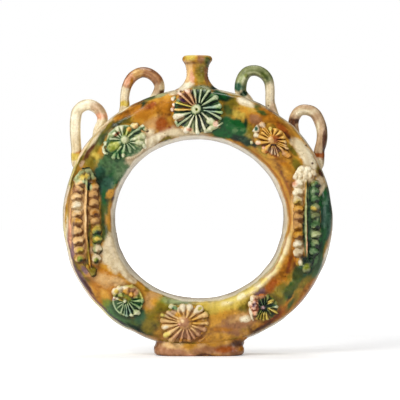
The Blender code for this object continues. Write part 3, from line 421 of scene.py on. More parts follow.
    ("bottle", -90.63, 162.3, 5.33, 1.8, -60, .45), ("celadon", -95.87, 150.7, 2.66, 3, 0, .5),
    ("cream", 95.13, 163.5, 12.4, 8.9, 0, .3), ("pale", 93.71, 165, 7.1, 4.4, 0, .7),
    ("pale", 98.15, 163.5, 3.55, 3.6, 0, .8), ("pale", 88.92, 149.9, 10.7, 5.9, 88, .35),
    ("pink", 84.83, 154.3, 2.66, 4.4, 60, .8), ("cream", 88.92, 139.2, 4.8, 6.2, 0, .5),
    ("straw", 88.92, 135.6, 3.55, 4.4, 0, .6), ("honey", 89.1, 129.4, 5.33, 6.2, 0, .5),
    ("caramel", 89.27, 120.6, 9.77, 6.2, 90, .5), ("honey", 89.81, 110.8, 5.33, 4.4, 90, .6),
    ("honey", 89.81, 107.2, 3.55, 5.3, 0, .6), ("cream", 88.74, 96.58, 7.99, 5.9, 90, .4),
    ("pale", 88.39, 99.24, 3.55, 3.6, 0, .7), ("cream", 89.1, 91.78, 2.66, 3, 0, .6),
    ("sage", 104.4, 117.9, 39.1, 11, 88, .16), ("celadon", 96.73, 123.2, 32, 1.6, 89, .4),
    ("pink", 97.27, 103.7, 16, .89, 88, .6), ("fern", 99.31, 116.1, 33.7, 1.8, 89, .35),
    ("sage", 104.9, 142.8, 7.99, 3.9, 90, .7), ("lichen", 104.9, 129.4, 7.1, 4.4, 90, .5),
    ("straw", 103.5, 131.2, 1.78, 3.6, 60, .7), ("celadon", 105.3, 107.2, 7.1, 4.4, 90, .7),
    ("bottle", 95.49, 84.14, 7.1, 5.3, 0, .4), ("lichen", 97.27, 77.4, 5.33, 5.3, 0, .4),
    ("leaf", 96.38, 79.7, 3.02, 2.7, 0, .5), ("celadon", 91.58, 82.37, 2.13, 3.6, 60, .5),
    ("cream", 89.27, 84.14, 3.55, 4.4, 0, .6), ("caramel", 79.5, 188, 4, 3, -45, .5),
    # The small biscuit spots at the upper left of the base rosette's boss and of the upper right rosette's boss are
    # painted highlights.
    ("celadon", -49, 194, 3, 5, 0, .6), ("biscuit", -13.0, 32.2, 1.6, 1.4, 0, .7),
    ("biscuit", 63.6, 193.4, 1.3, 1.2, 0, .7), ("umber", 72, 183, 6, 3, -30, .7),
]
BACK_SPLASHES = [
    ("amber", -70, 195, 34, 18, 40, .3), ("green", -98, 150, 34, 16, 80, .25), ("bottle", -108, 160, 22, 6, 80, .4),
    ("straw", -104, 110, 26, 14, 95, .4), ("amber", -90, 72, 30, 15, -52, .25), ("rust", -98, 62, 22, 6, -50, .5),
    ("green", -60, 42, 26, 13, -30, .25), ("olive", -30, 32, 24, 14, -10, .4), ("honey", 6, 30, 28, 13, 0, .3),
    ("amber", 14, 22, 24, 8, 5, .4), ("green", 52, 46, 22, 15, 35, .25), ("moss", 70, 60, 22, 8, 45, .4),
    ("amber", 92, 80, 28, 16, 60, .25), ("honey", 100, 100, 16, 9, 75, .4), ("cream", 102, 124, 18, 14, 90, .3),
    ("green", 104, 150, 26, 13, 95, .2), ("bottle", 112, 146, 24, 4, 95, .4), ("straw", 88, 176, 18, 12, 120, .4),
    ("amber", 68, 196, 26, 17, -42, .25), ("brown", 78, 204, 18, 4, -42, .5), ("cream", 40, 210, 16, 9, -20, .3),
    ("green", 14, 216, 24, 14, -6, .22), ("moss", -14, 226, 22, 7, 6, .4), ("honey", -36, 214, 20, 12, 25, .3),
    ("rust", -42, 224, 18, 4, 24, .5), ("green", -78, 180, 13, 9, 50, .25), ("pink", -104, 128, 26, 3, 92, .5),
    ("pale", 100, 132, 14, 4, 90, .5),
]
print(len(FRONT_SPLASHES), "splashes on the front,", len(SPRIG_SPLASHES_AND_LIGHT), "on its sprigs,",
      len(BACK_SPLASHES), "on the back")

# %% Laying the splashes over one another
def wander(points, stray=1.0):
    """Three ways in which the edge of a splash strays, in millimetres, each the sum of a slow, a middle and a
    quick noise, of 14, 5 and 2 mm. The slower two are stretched upwards, because glaze flows down before it
    sets. The other result is a fine grain, the sum of two noises, that breaks a soft edge into drops."""
    slow = points * [1, 1, .5]
    ways = []
    for seed in (210, 220, 230):
        pair = [1.3 * noise(slow, 14, seed + k) + .65 * noise(slow, 5, seed + 2 + k)
                + .35 * noise(points, 2.0, seed + 4 + k) for k in (0, 1)]
        ways.append(points[:, [0, 2]] + stray * np.stack(pair, axis=-1))
    return ways, .62 * noise(slow, 2.6, 241) + .5 * noise(points, 1.2, 242)


def lay(tones, ways, grain, splashes):
    """One coat after another. A point's distance is 1 on the edge of a splash's ellipse, and 0.55 softness times
    the grain is added to it. The cover falls from 1 to 0 by the smooth step between 1 - 0.7 softness and
    1 + 0.7 softness, and the three tones of what was there give way by that much. Neighbouring splashes stray
    in different ways."""
    for number, (glaze, x, z, half_length, half_width, turn, softness) in enumerate(splashes):
        where = ways[number % 3]
        slant, rise = np.cos(np.radians(turn)), np.sin(np.radians(turn))
        along = ((where[:, 0] - x) * slant + (where[:, 1] - z) * rise) / half_length
        aside = ((where[:, 1] - z) * slant - (where[:, 0] - x) * rise) / half_width
        near = np.flatnonzero((np.abs(along) < 2) & (np.abs(aside) < 2))
        distance = np.hypot(along[near], aside[near]) + softness * .55 * grain[near]
        cover = ease(-distance, -1 - softness * .7, -1 + softness * .7)[:, None, None]
        tones[near] = tones[near] * (1 - cover) + GLAZE_TONES[glaze] * cover
    return tones


def paint(points, splashes_front, splashes_back, wall=0.0, stray=1.0):
    """The three tones of the glaze at points in millimetres. The ground is honey that clouds into olive by the
    sum of two noises, and pale by the share wall. The splashes of the front and of the back are laid over it,
    and meet in a line 1 to 6 mm behind the middle that noise makes wander."""
    ways, grain = wander(points, stray)
    slow = points * [1, 1, .55]
    cloud = ease(noise(slow, 19, 28) + .6 * noise(slow, 6, 29) + .3 * grain, -.3, .6)[:, None, None]
    ground = GLAZE_TONES["honey"] * (1 - cloud) + GLAZE_TONES["olive"] * cloud
    wall = np.broadcast_to(wall, (len(points),))[:, None, None]
    ground = ground * (1 - wall) + GLAZE_TONES["pale"] * wall
    side = ease(points[:, 1] + 6 * noise(points, 14, 27) + 2 * grain, 1, 6)
    tones = np.zeros((len(points), 3, 3))
    for splashes, weight in ((splashes_front, 1 - side), (splashes_back, side)):
        pick = np.flatnonzero(weight > 0)
        coats = lay(ground[pick].copy(), [way[pick] for way in ways], grain[pick], splashes)
        tones[pick] += coats * weight[pick][:, None, None]
    return tones


def tone(tones, pool):
    """One colour from three tones: full where pool is 0, and in proportion towards thin at -1 or pooled at 1."""
    pool = np.clip(pool, -1, 1)[:, None]
    thinner = tones[:, 1] * (1 + pool) - tones[:, 0] * pool
    thicker = tones[:, 1] * (1 - pool) + tones[:, 2] * pool
    return np.where(pool < 0, thinner, thicker)


def coat(points, glaze, splashes):
    """The three tones of splashes laid over a ground of one glaze, at points in millimetres."""
    ground = np.broadcast_to(GLAZE_TONES[glaze], (len(points), 3, 3)).copy()
    return lay(ground, *wander(points), splashes)


def band(colour, mask, glaze, level=1):
    """A tone of one glaze over a colour, in proportion to the mask. The levels 0, 1 and 2 are thin, full and
    pooled."""
    return colour * (1 - mask[:, None]) + GLAZE_TONES[glaze][level] * mask[:, None]

# %% [markdown]
# ## From a grid of points to a piece
# Each piece is one closed skin, because the flask is solid clay wherever two pieces meet. The columns of the
# grid always join up. The rows either join up too, as round a ring, or end in a single point at each pole.

# %% Make a piece from a grid
MM = 0.001


def skin(name, points, colour, pool, replaces, ring=False):
    """Mesh of a grid (rows, columns, 3) in millimetres. With ring, the last row joins the first. Otherwise the
    first and the last row are each one point. The signed volume, the sum of a.(b x c)/6 over all triangles,
    tells which way the faces point, and they are turned when it is negative."""
    rows, columns = points.shape[:2]
    if ring:
        index = np.arange(rows * columns).reshape(rows, columns)
        keep = np.ones(rows * columns, bool)
    else:
        index = np.empty((rows, columns), int)
        index[0], index[-1] = 0, 1 + (rows - 2) * columns
        index[1:-1] = 1 + np.arange((rows - 2) * columns).reshape(rows - 2, columns)
        keep = np.zeros((rows, columns), bool)
        keep[1:-1], keep[0, 0], keep[-1, 0] = True, True, True
        keep = keep.ravel()
    upper = np.vstack([index[1:], index[:1]]) if ring else index[1:]
    lower = index if ring else index[:-1]
    quads = np.stack([lower, upper, np.roll(upper, -1, 1), np.roll(lower, -1, 1)], axis=-1).reshape(-1, 4)
    flat = points.reshape(-1, 3)[keep] * MM
    a, b, c, d = (flat[quads[:, k]] for k in range(4))
    volume = (np.einsum("ij,ij->i", a, np.cross(b, c)) + np.einsum("ij,ij->i", a, np.cross(c, d))).sum() / 6
    if volume < 0:
        quads = quads[:, ::-1]
    faces = [tuple(dict.fromkeys(face)) for face in quads.tolist()]
    mesh = bpy.data.meshes.new(name)
    mesh.from_pydata(flat.tolist(), [], faces)
    rgba = np.ones((len(flat), 4))
    rgba[:, :3] = colour.reshape(-1, 3)[keep]
    mesh.attributes.new("glaze", "FLOAT_COLOR", "POINT").data.foreach_set("color", rgba.ravel())
    mesh.attributes.new("pool", "FLOAT", "POINT").data.foreach_set("value", np.asarray(pool, float).ravel()[keep])
    mesh.shade_smooth()
    piece = bpy.data.objects.new(name, mesh)
    bpy.context.scene.collection.objects.link(piece)
    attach(piece, "root")
    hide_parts(*replaces)
    print(name, "has", len(flat), "points,", round(abs(volume) * 1e6, 2), "cm3")
    return piece


pieces = []

# %% [markdown]
# ## The sprigs' places
# The sprigs come first on paper, because the glaze on the ring darkens where it pools round them, and that
# darkening is also painted shade in the crease at their foot. Each disc is given by its centre and its two
# radii, and each spray by its middle, its half width and its half length, all as (x, z, half across, half up).

# %% Where the sprigs sit on the front
DISCS = {
    "crest_rosette": (0.0, 218.9, 24.2, 22.2),
    "upper_left_rosette": (-63.9, 191.4, 20.0, 16.8),
    "upper_right_rosette": (67.5, 191.8, 17.8, 17.0),
    "lower_left_medallion": (-61.7, 49.6, 14.5, 15.0),
    "lower_right_medallion": (58.5, 43.9, 14.6, 13.2),
    "base_rosette": (-11.7, 30.0, 21.4, 17.4),
}
SPRAYS = {"left_spray": (-100.3, 115.5, 14.6, 48.0), "right_spray": (96.4, 121.5, 14.4, 47.0)}
POOL_REACH = 1.9


def pool_and_shade_round(x, z):
    """Glaze that gathers round the sprigs, whose darkening is also painted shade in the crease at their foot: with g
    the gap to a sprig's outline, exp(-(g / POOL_REACH)^2), so 1 at its outline and almost 0 at twice POOL_REACH.
    The outline is where |x/a|^n + |z/b|^n is 1: an ellipse with n = 2 for a disc, and squarer with n = 3 for a
    spray."""
    pool = np.zeros(len(x))
    for places, power in ((DISCS, 2), (SPRAYS, 3)):
        for centre_x, centre_z, radius_x, radius_z in places.values():
            aside, upward = np.abs((x - centre_x) / radius_x), np.abs((z - centre_z) / radius_z)
            gap = ((aside ** power + upward ** power) ** (1 / power) - 1) * min(radius_x, radius_z)
            pool = np.maximum(pool, np.where(gap > -1, np.exp(-(np.clip(gap, 0, None) / POOL_REACH) ** 2), 0))
    return pool

# %% The ring body
ROUND_STEPS, FACE_STEPS, WALL_STEPS = 700, 44, 22
FACE_PART = .56


def section():
    """The closed section as shares (across, depth): the front face from the hole to the outer edge, the outer
    wall, the back face and the inner wall, each quarter a mirror of the first. FACE_PART of a quarter's points
    is face, and the rest is wall."""
    split = int(FACE_PART * QUARTER_POINTS)
    face = even(QUARTER[:split], FACE_STEPS // 2 + 1)
    wall = even(QUARTER[split - 1:], WALL_STEPS // 2 + 1)[1:]
    front_right = np.vstack([face, wall])
    back_right = front_right[::-1][1:] * [1, -1]
    back_left = front_right[1:] * [-1, -1]
    front_left = front_right[::-1][1:-1] * [-1, 1]
    return np.vstack([front_right, back_right, back_left, front_left])


shape = section()
angle = np.linspace(0, 2 * math.pi, ROUND_STEPS, endpoint=False)[:, None]
share = shape[None, :, 0] + 0 * angle
inner, outer = edges(angle)
x, z = oval(angle + 0 * share, (inner + outer) / 2 + (outer - inner) / 2 * share)
y = -DEPTH_HALF * shape[None, :, 1] + 0 * x
points = np.stack([x, y, z], axis=-1)
middle_x, middle_z = oval(angle + 0 * share, 0 * share)
out_x, out_z = x - middle_x, z - middle_z
length = np.sqrt(out_x ** 2 + out_z ** 2 + y ** 2)
points += hand(points)[..., None] * np.stack([out_x, y, out_z], axis=-1) / length[..., None]

flat = points.reshape(-1, 3)
front = flat[:, 1] < 0
pool = .45 * noise(flat, 14, 31) + .50 * noise(flat * [1, 1, .6], 4.5, 32) + .42 * noise(flat, 1.8, 37) + .05
# Round the sprigs the ring's glaze pools darker, which is also painted shade in the crease at their foot.
moulded = pool_and_shade_round(np.where(front, flat[:, 0], -flat[:, 0]), flat[:, 2])
pool = np.maximum(pool, .6 * moulded + .2 * noise(flat, 6, 39))
wall = ease(np.abs(share.ravel() + .05 * noise(flat, 9, 30)), .88, .96)
colour = tone(paint(flat, FRONT_SPLASHES, BACK_SPLASHES, wall), pool)

# %% Stripes of glaze along the ring's edges, among them a painted highlight and a line of painted shade
place = share.ravel() + .035 * noise(flat, 9, 33) + .015 * noise(flat, 3, 34)
turned = np.degrees(angle + 0 * share).ravel() % 360


def facing(middle, low, high):
    """1 at an angle round the ring and 0 far from it: the smooth step from low to high of the cosine of the
    angle between."""
    return ease(np.cos(np.radians(turned - middle)), low, high)


def stripe(across, width):
    """A soft line along the ring at a share across: exp(-(d / width)^2), with d the share away from it."""
    return np.exp(-((place - across) / width) ** 2)


hole_edge, outer_edge = ease(-place, .85, .91), ease(place, .85, .91)
crown_inside = front * stripe(-.74, .11)
lower_right, right, left, lower_left = (
    facing(318, .72, .95), facing(5, .35, .8), facing(188, .55, .85), facing(212, .86, .96))
for mask, glaze, level in (
        (hole_edge * .95, "cream", 0),
        (hole_edge * ease(noise(flat, 22, 35), .1, .6) * .5, "cream", 1),
        # Along the lower right of the hole the crown is straw glaze, with a mottled pale painted highlight over it
        # where it faces up to the light.
        (crown_inside * lower_right * .8, "straw", 0),
        (crown_inside * lower_right * .5 * ease(noise(flat, 7, 40), -.3, .3), "pale", 0),
        (crown_inside * facing(20, .80, .95) * .8, "honey", 1),
        (right * stripe(-.79, .035) * .8, "rust", 1),
        # A faint lilac-grey line along the innermost inner wall is painted shade.
        (ease(-place, .965, .99) * .3, "lilac", 1),
        (left * outer_edge * .9, "straw", 0),
        (left * outer_edge * .8 * ease(noise(flat, 17, 43), -.2, .3), "pink", 0),
        (left * ease(place, .93, .97) * .7, "pale", 1),
        (lower_left * stripe(.82, .03) * .75, "plum", 1)):
    colour = band(colour, mask, glaze, level)
pieces.append(skin("ring_body", points, colour, pool, ["front_face", "back_face", "outer_wall_left",
                                                       "outer_wall_right", "inner_wall"], ring=True))

# %% [markdown]
# ## Sprigs from moulds
# A potter cuts small moulds, presses clay into them and sticks the sprigs on with slip. Each groove of such a
# mould is a stroke of a tool, so each sprig here is a list of strokes: a stroke is a rounded ridge from one
# point to another, thick at one end and thin at the other. The height at any point is the highest stroke over
# it. Sculpting could give the same, but this way each petal keeps its own numbers.

# %% Strokes of the mould
SUNK = -1.2


def press(p, q, strokes, level):
    """Height over the ring of rounded ridges. For a stroke from A to B: t is how far along it a point lies
    (clamped from 0 to 1), d its distance from that spot, w the half width there; the ridge stands
    (level + tall) * (1 - (d/w)^2)^0.7. The highest ridge wins. Outside all of them it is SUNK, which lies
    under the ring's surface."""
    height = np.full(p.shape, SUNK)
    for start_p, start_q, end_p, end_q, wide_start, wide_end, tall in strokes:
        run_p, run_q = end_p - start_p, end_q - start_q
        t = ((p - start_p) * run_p + (q - start_q) * run_q) / max(run_p ** 2 + run_q ** 2, 1e-9)
        t = np.clip(t, 0, 1)
        wide = wide_start + (wide_end - wide_start) * t
        gone = 1 - ((p - start_p - t * run_p) ** 2 + (q - start_q - t * run_q) ** 2) / wide ** 2
        height = np.where(gone > 0, np.maximum(height, (level + tall) * np.clip(gone, 0, 1) ** .7), height)
    return height


def disc_pad(p, q, radii, level, edge=1.0):
    """A low dome with a rounded rim: level * (1 - 0.3 r^2) * (1 - r^14) - 0.2 r^14, with r from 0 at its middle
    to 1 at the share edge of its radii. Outside it is SUNK."""
    r = np.hypot(p / radii[0], q / radii[1]) / edge
    return np.where(r < 1, level * (1 - .3 * r ** 2) * (1 - np.clip(r, 0, 1) ** 14) - .2 * r ** 14, SUNK)


# Strokes from a point (p, q) to another, with the half width at each end and the height, in millimetres.
SPRIG_STROKES = {
    "crest_rosette": [
        (-.951, 1.07, -.888, 1.07, 4.3, 4.3, 3.2), (-1.08, 6.65, -2.54, 19.3, .45, 1.7, 2.9),
        (1.46, 6.65, 3.49, 18.7, .45, .95, 2.4), (2.98, 6.65, 10.3, 17.7, .45, 1.4, 2.7),
        (4.12, 4.43, 16.2, 11, .45, 2.2, 2.9), (5.39, 1.89, 19.3, 3.16, .45, 2.3, 2.3),
        (6.03, -.33, 21.2, -2.23, .45, 1.4, 1.7), (8.56, -.647, 20.3, -7.31, .51, 1.4, 2.8),
        (4.44, -2.87, 11.1, -9.53, .51, 1.6, 2.8), (11.1, -9.53, 15.2, -13, 2.5, 2.7, 2.6),
        (15.2, -13, 11.1, -17.1, 2.7, 2, 2.2), (11.1, -17.1, 6.98, -18.7, 1.9, 1.3, 2),
        (16.8, -14.6, 22.2, -11.2, .57, .51, 2), (1.71, -4.77, 6.66, -16.8, .45, 1.3, 2.7),
        (-1.08, -5.4, 0, -19.4, .51, 1.8, 2.9), (-3.17, -4.77, -8.25, -15.6, .45, 1.4, 2.5),
        (-8.25, -15.6, -10.1, -18.1, 1.9, 2.2, 1.5), (-5.39, -4.45, -17.4, -13.8, .51, 1.3, 2.7),
        (-6.34, -2.23, -18.7, -5.72, .51, 2.7, 2.8), (-17.4, -13.8, -19, -10.5, 1.1, 1.4, 1.6),
        (-6.34, .431, -19.3, .431, .45, 1.1, 2.6), (-5.39, 3.16, -18.4, 6.65, .45, .95, 2.5),
        (-4.12, 4.43, -16.2, 15.2, .45, 1.4, 2.8), (-2.54, 5.7, -9.2, 18.1, .45, 2.2, 2.9),
        (-22.2, .939, -22.1, -.0127, 1.1, 1.1, 1.6), (-21.6, 10.1, -20.5, 11, 1.3, 1.3, 1.7),
        (-16.3, 17.9, -15.4, 18.3, 1, 1, 1.6), (-21.2, 5.38, -20.9, 4.11, .89, .89, 1.5),
    ],
    "upper_left_rosette": [
        (0, 1.57, .0634, 1.57, 3.8, 3.8, 3.1), (-4.76, -1.28, -11.4, -5.53, 1.6, 4.8, 2.4),
        (-19.7, -4.77, -18.7, -10.5, .89, 1.6, 2), (-18.7, -10.5, -15.9, -11.1, 1.5, 1.1, 1.8),
        (-4.12, -4.77, -8.56, -10.5, .89, 1.9, 2.1), (-8.56, -10.5, -10.1, -14.3, 1.8, 1.9, 1.9),
        (-6.79, -9.21, -6.34, -14, .89, 1.5, 1.7), (-.444, -3.5, -1.46, -9.21, .76, 2.3, 2.3),
        (-1.46, -9.21, -2.09, -13.5, 2.2, 1.4, 2.1), (1.9, -2.87, 4.12, -7.31, .76, 1.9, 2.1),
        (4.12, -7.31, 4.5, -9.53, 1.8, 1.5, 1.8), (3.49, -1.6, 7.93, -6.04, .51, .89, 1.8),
        (4.12, -.203, 9.2, -1.28, .51, .89, 1.8), (5.07, 1.57, 11.1, 2.84, .89, 2.2, 2.2),
        (11.1, 2.84, 15.4, 4.43, 2.2, 2.5, 2.1), (11.1, -.33, 13.6, -1.6, 2.2, 2.3, 2.2),
        (16.2, -3.82, 17.1, -5.09, 1.3, 1.4, 1.8), (8.56, -6.67, 8.31, -6.36, .89, .89, 1.5),
        (17.8, 11.1, 18.1, 13.1, 1.8, 1.4, 1.6), (3.17, 4.74, 11.1, 10.1, .76, 1.5, 2.4),
        (11.1, 10.1, 16.2, 13.6, 1.5, 1.3, 2.1), (.951, 5.38, 2.54, 9.69, .76, 1.6, 2.2),
        (2.54, 10.1, 3.49, 11.1, 1.6, 1.4, 1.9), (7.29, 13.1, 9.2, 13.8, 2.2, 2.2, 2.1),
        (-2.09, 5.38, -2.85, 12, .63, 1.8, 2.2), (-3.49, 4.11, -6.98, 10.5, .63, 1.9, 2.4),
        (-4.76, 3.16, -9.83, 6.96, .63, 1.8, 2.2), (-4.76, 1.57, -13.3, 2.21, .51, 1.4, 1.9),
        (-17.8, -1.6, -18.1, -2.87, 1.4, 1.3, 1.8),
    ],
    "upper_right_rosette": [
        (-.254, .52, -.19, .33, 4.4, 4.4, 3.5), (-1.84, 5.28, -2.98, 10.7, .63, 1.6, 2.5),
        (.381, 5.28, 2.35, 8.96, .63, 1.6, 2.7), (1.97, 4.33, 6.09, 7.18, .63, 1.6, 2.7),
        (3.55, 1.79, 8.44, 2.42, .51, 1.5, 2.5), (3.55, -.114, 10.2, -1.38, .51, 1.5, 2.7),
        (3.55, -1.7, 10.2, -4.55, .45, 1.3, 2.5), (3.23, -2.97, 11.8, -7.41, .45, 1.3, 2.4),
        (2.6, -3.92, 10.2, -10.9, .51, 1.6, 2.4), (10.2, -10.9, 13.1, -13.1, 1.9, 2.2, 2.5),
        (13.1, -13.1, 16.6, -15.7, 1.5, 1, 2.3), (16.6, -15.7, 14.8, -18.3, .89, .76, 2.1),
        (14.8, -18.3, 12.7, -16.2, .76, .63, 1.9), (.698, -4.55, 4.5, -13.1, .45, .82, 2.1),
        (-.254, -4.87, 1.33, -11.8, .45, .76, 1.9), (-1.21, -4.55, -1.84, -11.8, .45, 1, 2),
        (-3.11, -3.6, -7.23, -8.04, .76, 2.9, 2.8), (-8.94, -6.14, -9.2, -6.9, 1.1, 1, 2.9),
        (-4.38, -1.38, -13.6, -1.38, .63, 2, 2.8), (-4.69, .837, -15.5, 4.96, .63, 2, 2.8),
        (-4.25, 2.74, -10.1, 7.18, .45, .95, 2.1), (-3.74, 4.01, -9.45, 10.4, .45, .89, 2.1),
        (-2.79, 4.96, -9.45, 13.8, .51, 1, 2.2), (-9.96, 14.2, -9.58, 13.8, 2, 2, 2.4),
        (-16.7, 11.5, -15.5, 10.1, 3.3, 3, 2.2), (-19.6, -1.57, -19.3, -1.95, 1.3, 1.3, 1.5),
    ],
    "lower_left_medallion": [
        (-2.72, -.588, -2.66, -.866, 1.2, 1.1, 2.3), (-3.27, -1.7, -9.38, -5.86, .45, .83, 1.7),
        (-4.66, -.866, -8.99, -2.09, .45, .72, 1.6), (-4.66, .244, -9.55, 1.91, .45, .72, 1.6),
        (-4, -3.36, -6.44, -10.6, .45, 1.1, 1.8), (-2.89, -3.64, -3.44, -12.5, .45, .83, 1.6),
        (-1.61, -3.09, -.777, -13.5, .45, 1.3, 1.9), (-.222, -3.09, 3.11, -12.5, .45, 1.4, 2.1),
        (.888, -1.98, 6.44, -9.47, .45, 1.4, 2.1), (2.55, -1.42, 9.77, -5.86, .45, 1.3, 2.2),
        (3.11, -.0333, 12.3, -.2, .45, 2, 2), (-10.8, 8.29, -9.55, 8.85, 2.6, 2.3, 2.1),
        (-6.77, 10.8, -6.05, 11, 2.2, 2, 1.8), (-1.33, 9.4, -.888, 8.68, 3, 2.9, 2.8),
        (3.55, 10.3, 4.33, 10.1, 2.7, 2.4, 2.3), (7.27, 7.18, 7.83, 6.46, 2.2, 2, 2),
        (2.89, 6.02, 3.44, 5.46, 2.2, 2, 2.3), (6.72, 3.69, 6.33, 3.24, 1.9, 1.7, 1.9),
        (-6.77, 5.35, -5.99, 4.68, 2, 1.7, 1.8), (7.1, -9.86, 9.1, -10.7, 2.1, 2, 2.2),
        (3.11, -12.6, 3.77, -13.2, 1.3, 1.4, 2.1),
    ],
    "lower_right_medallion": [
        (-.553, .168, .138, -.326, 1.7, 1.5, 2.2), (-9.33, 8.31, -9.83, 7.32, 1.8, 1.6, 2),
        (-7.85, 4.85, -7.56, 4.51, 1.5, 1.4, 2.2), (-10.9, 2.88, -10.4, 2.39, 2, 1.8, 2.1),
        (-8.35, -.572, -8.05, -1.07, 1.8, 1.6, 2.3), (-6.77, -5.65, -6.37, -6, 1.9, 1.7, 2.1),
        (-10.4, -4.67, -10.1, -5.26, 1.3, 1.2, 1.8), (-7.11, 1.89, -6.62, 1.65, 1.2, 1.1, 2),
        (-11.8, -2.3, -9.09, -11.4, .69, .79, 1.9), (-1.34, 9.79, -.207, 10.2, 2, 1.9, 2.1),
        (-5.58, 9.29, -5.19, 9.64, 1.3, 1.2, 1.7), (3.74, 10.5, 4.28, 10.8, 1.2, 1.2, 1.6),
        (3, 2.63, 7.04, 4.51, .45, 1.1, 2), (3.74, 4.61, 8.52, 7.47, .45, 1.1, 2),
        (2.26, 4.11, 4.48, 9.05, .45, 1.1, 2), (4.73, -.819, 11.9, -4.77, .49, .99, 2.5),
        (5.22, -.0789, 11.6, .76, .45, 1.3, 2.1), (3.74, -2.05, 6.55, -5.36, .45, .99, 2.1),
        (2.41, -3.53, 3.74, -10.2, .45, 1.3, 2.5), (.927, -3.78, .0395, -11.2, .45, 1.2, 2.3),
        (-.947, -3.53, -2.92, -10.2, .45, 1.1, 2), (-2.18, -2.79, -5.88, -10.3, .45, 1.1, 1.8),
        (-2.43, .414, -5.39, 4.11, .45, .69, 1.8), (-.947, 2.39, -2.43, 7.07, .45, .69, 1.8),
        (.927, 2.39, 1.27, 8.06, .45, .79, 1.8),
    ],
    "base_rosette": [
        (.368, .317, .495, 0, 5.7, 5.5, 3), (2.59, 5.58, 4.81, 13.4, .76, 2.7, 2.7),
        (5.13, 4.95, 13.7, 12.6, .63, 2.8, 2.8), (7.35, 3.04, 18.9, 7.61, .76, 2.3, 2.8),
        (7.98, -.127, 20.2, -.761, .89, 1.5, 2.3), (7.35, -2.54, 17.8, -5.71, .76, 1.9, 2),
        (6.08, -4.44, 12.4, -10.3, .63, 1.9, 2.1), (4.3, -5.71, 8.3, -13.3, .57, 1.4, 1.8),
        (2.91, -6.34, 4.3, -15.3, .63, 1.8, 2.5), (-.266, -6.47, -3.56, -16.6, .51, 1.1, 2.4),
        (-2.49, -5.71, -11.2, -15.3, .76, 2.4, 2.8), (-5.02, -3.3, -15.8, -10.8, .76, 2.5, 2.9),
        (-6.29, -1.59, -17.5, -3.49, .76, 2.3, 2.8), (-7.24, .507, -18.8, 2.03, .76, 2.3, 2.5),
        (-7.56, 2.54, -19.4, 7.1, .63, 1.5, 1.9), (-5.34, 3.81, -14.3, 9.2, .63, 1.5, 2.1),
        (-2.8, 5.07, -5.66, 12.1, .57, 1.6, 1.7), (.368, 5.84, -1.41, 14.1, .76, 2.3, 1.9),
        (-11.6, 14.5, -10.7, 14.7, 1.6, 1.6, 1.8), (-8.39, 13.3, -7.56, 12.4, 1.6, 1.5, 1.7),
        (13.4, -16.2, 17.6, -13.4, .57, .57, 1.7),
    ],
}
# The level of each pad, the share of its radii where it ends, and how far the glaze thickens its strokes.
PAD_LEVELS = {
    "crest_rosette": (.9, .90, 1.24),
    "upper_left_rosette": (1.5, .88, 1.26),
    "upper_right_rosette": (1.0, .68, 1.26),
    "lower_left_medallion": (1.1, .94, 1.26),
    "lower_right_medallion": (1.2, .90, 1.30),
    "base_rosette": (1.7, .86, 1.32),
}
ROOT_THICKER, STROKE_LEVEL = 1.25, .8


def relief_of(name):
    """The heights of one disc-shaped sprig: the higher of its strokes, thicker at the root, and its pad. A
    prick, a bell 1.7 mm deep, goes into the crest's boss. A rim, a bell 1.5 mm high, goes round the left
    medallion at 0.9 of its radii."""
    _, _, radius_x, radius_z = DISCS[name]
    level, edge, thicker = PAD_LEVELS[name]
    strokes = [(*ends, root * thicker * ROOT_THICKER, tip * thicker, tall)
               for *ends, root, tip, tall in SPRIG_STROKES[name]]

    def relief(p, q):
        top = np.maximum(press(p, q, strokes, STROKE_LEVEL), disc_pad(p, q, (radius_x, radius_z), level, edge))
        if name == "crest_rosette":
            top = top - 1.7 * np.exp(-((p + .8) ** 2 + (q - .5) ** 2) / .9 ** 2)
        if name == "lower_left_medallion":
            top = top + 1.5 * np.exp(-((np.hypot(p / radius_x, q / radius_z) - .90) / .06) ** 2)
        return top

    return relief


print("strokes:", {name: len(strokes) for name, strokes in SPRIG_STROKES.items()})

# %% [markdown]
# ## Bead sprays
# Down each side runs a spray: two rows of scale-like beads and a stem between them, under a low dome with round
# lobes and over a pendant. The left one leans with the ring. The dome, the lobes, the stem and the pendant are
# strokes too. A bead is a dome with a hollow, because one stroke can't leave the crescent that each shows.

# %% The beads, stems, caps and pendants
BEAD_HEIGHT = 4.4


def scales(x, z, places, half_width, half_height, seed):
    """Heights of hooded beads. Over each, (0.3 + tall) * sqrt(1 - r^2) is a dome that leans a little up to the
    left, and a bell-shaped hollow is pressed into its lower right side, so that a rim like a crescent stays.
    Each bead strays from the given width, height and hollow by its own random part."""
    height = np.full(x.shape, SUNK)
    hand_made = np.random.default_rng(seed).uniform(-1, 1, (len(places), 4))
    for (bead_x, bead_z), (wider, longer, taller, deeper) in zip(places, hand_made):
        u, v = (x - bead_x) / (half_width * (1 + .08 * wider)), (z - bead_z) / (half_height * (1 + .08 * longer))
        stand = .3 + BEAD_HEIGHT * (1 + .12 * taller)
        dome = stand * np.clip(1 - u ** 2 - v ** 2, 0, 1) ** .5 * (1 - .14 * u + .20 * v)
        hollow = (.55 + .5 * deeper) * np.exp(-((u - .28) / .34) ** 2 - ((v + .38) / .34) ** 2)
        height = np.where(dome > 0, np.maximum(height, dome - hollow), height)
    return height


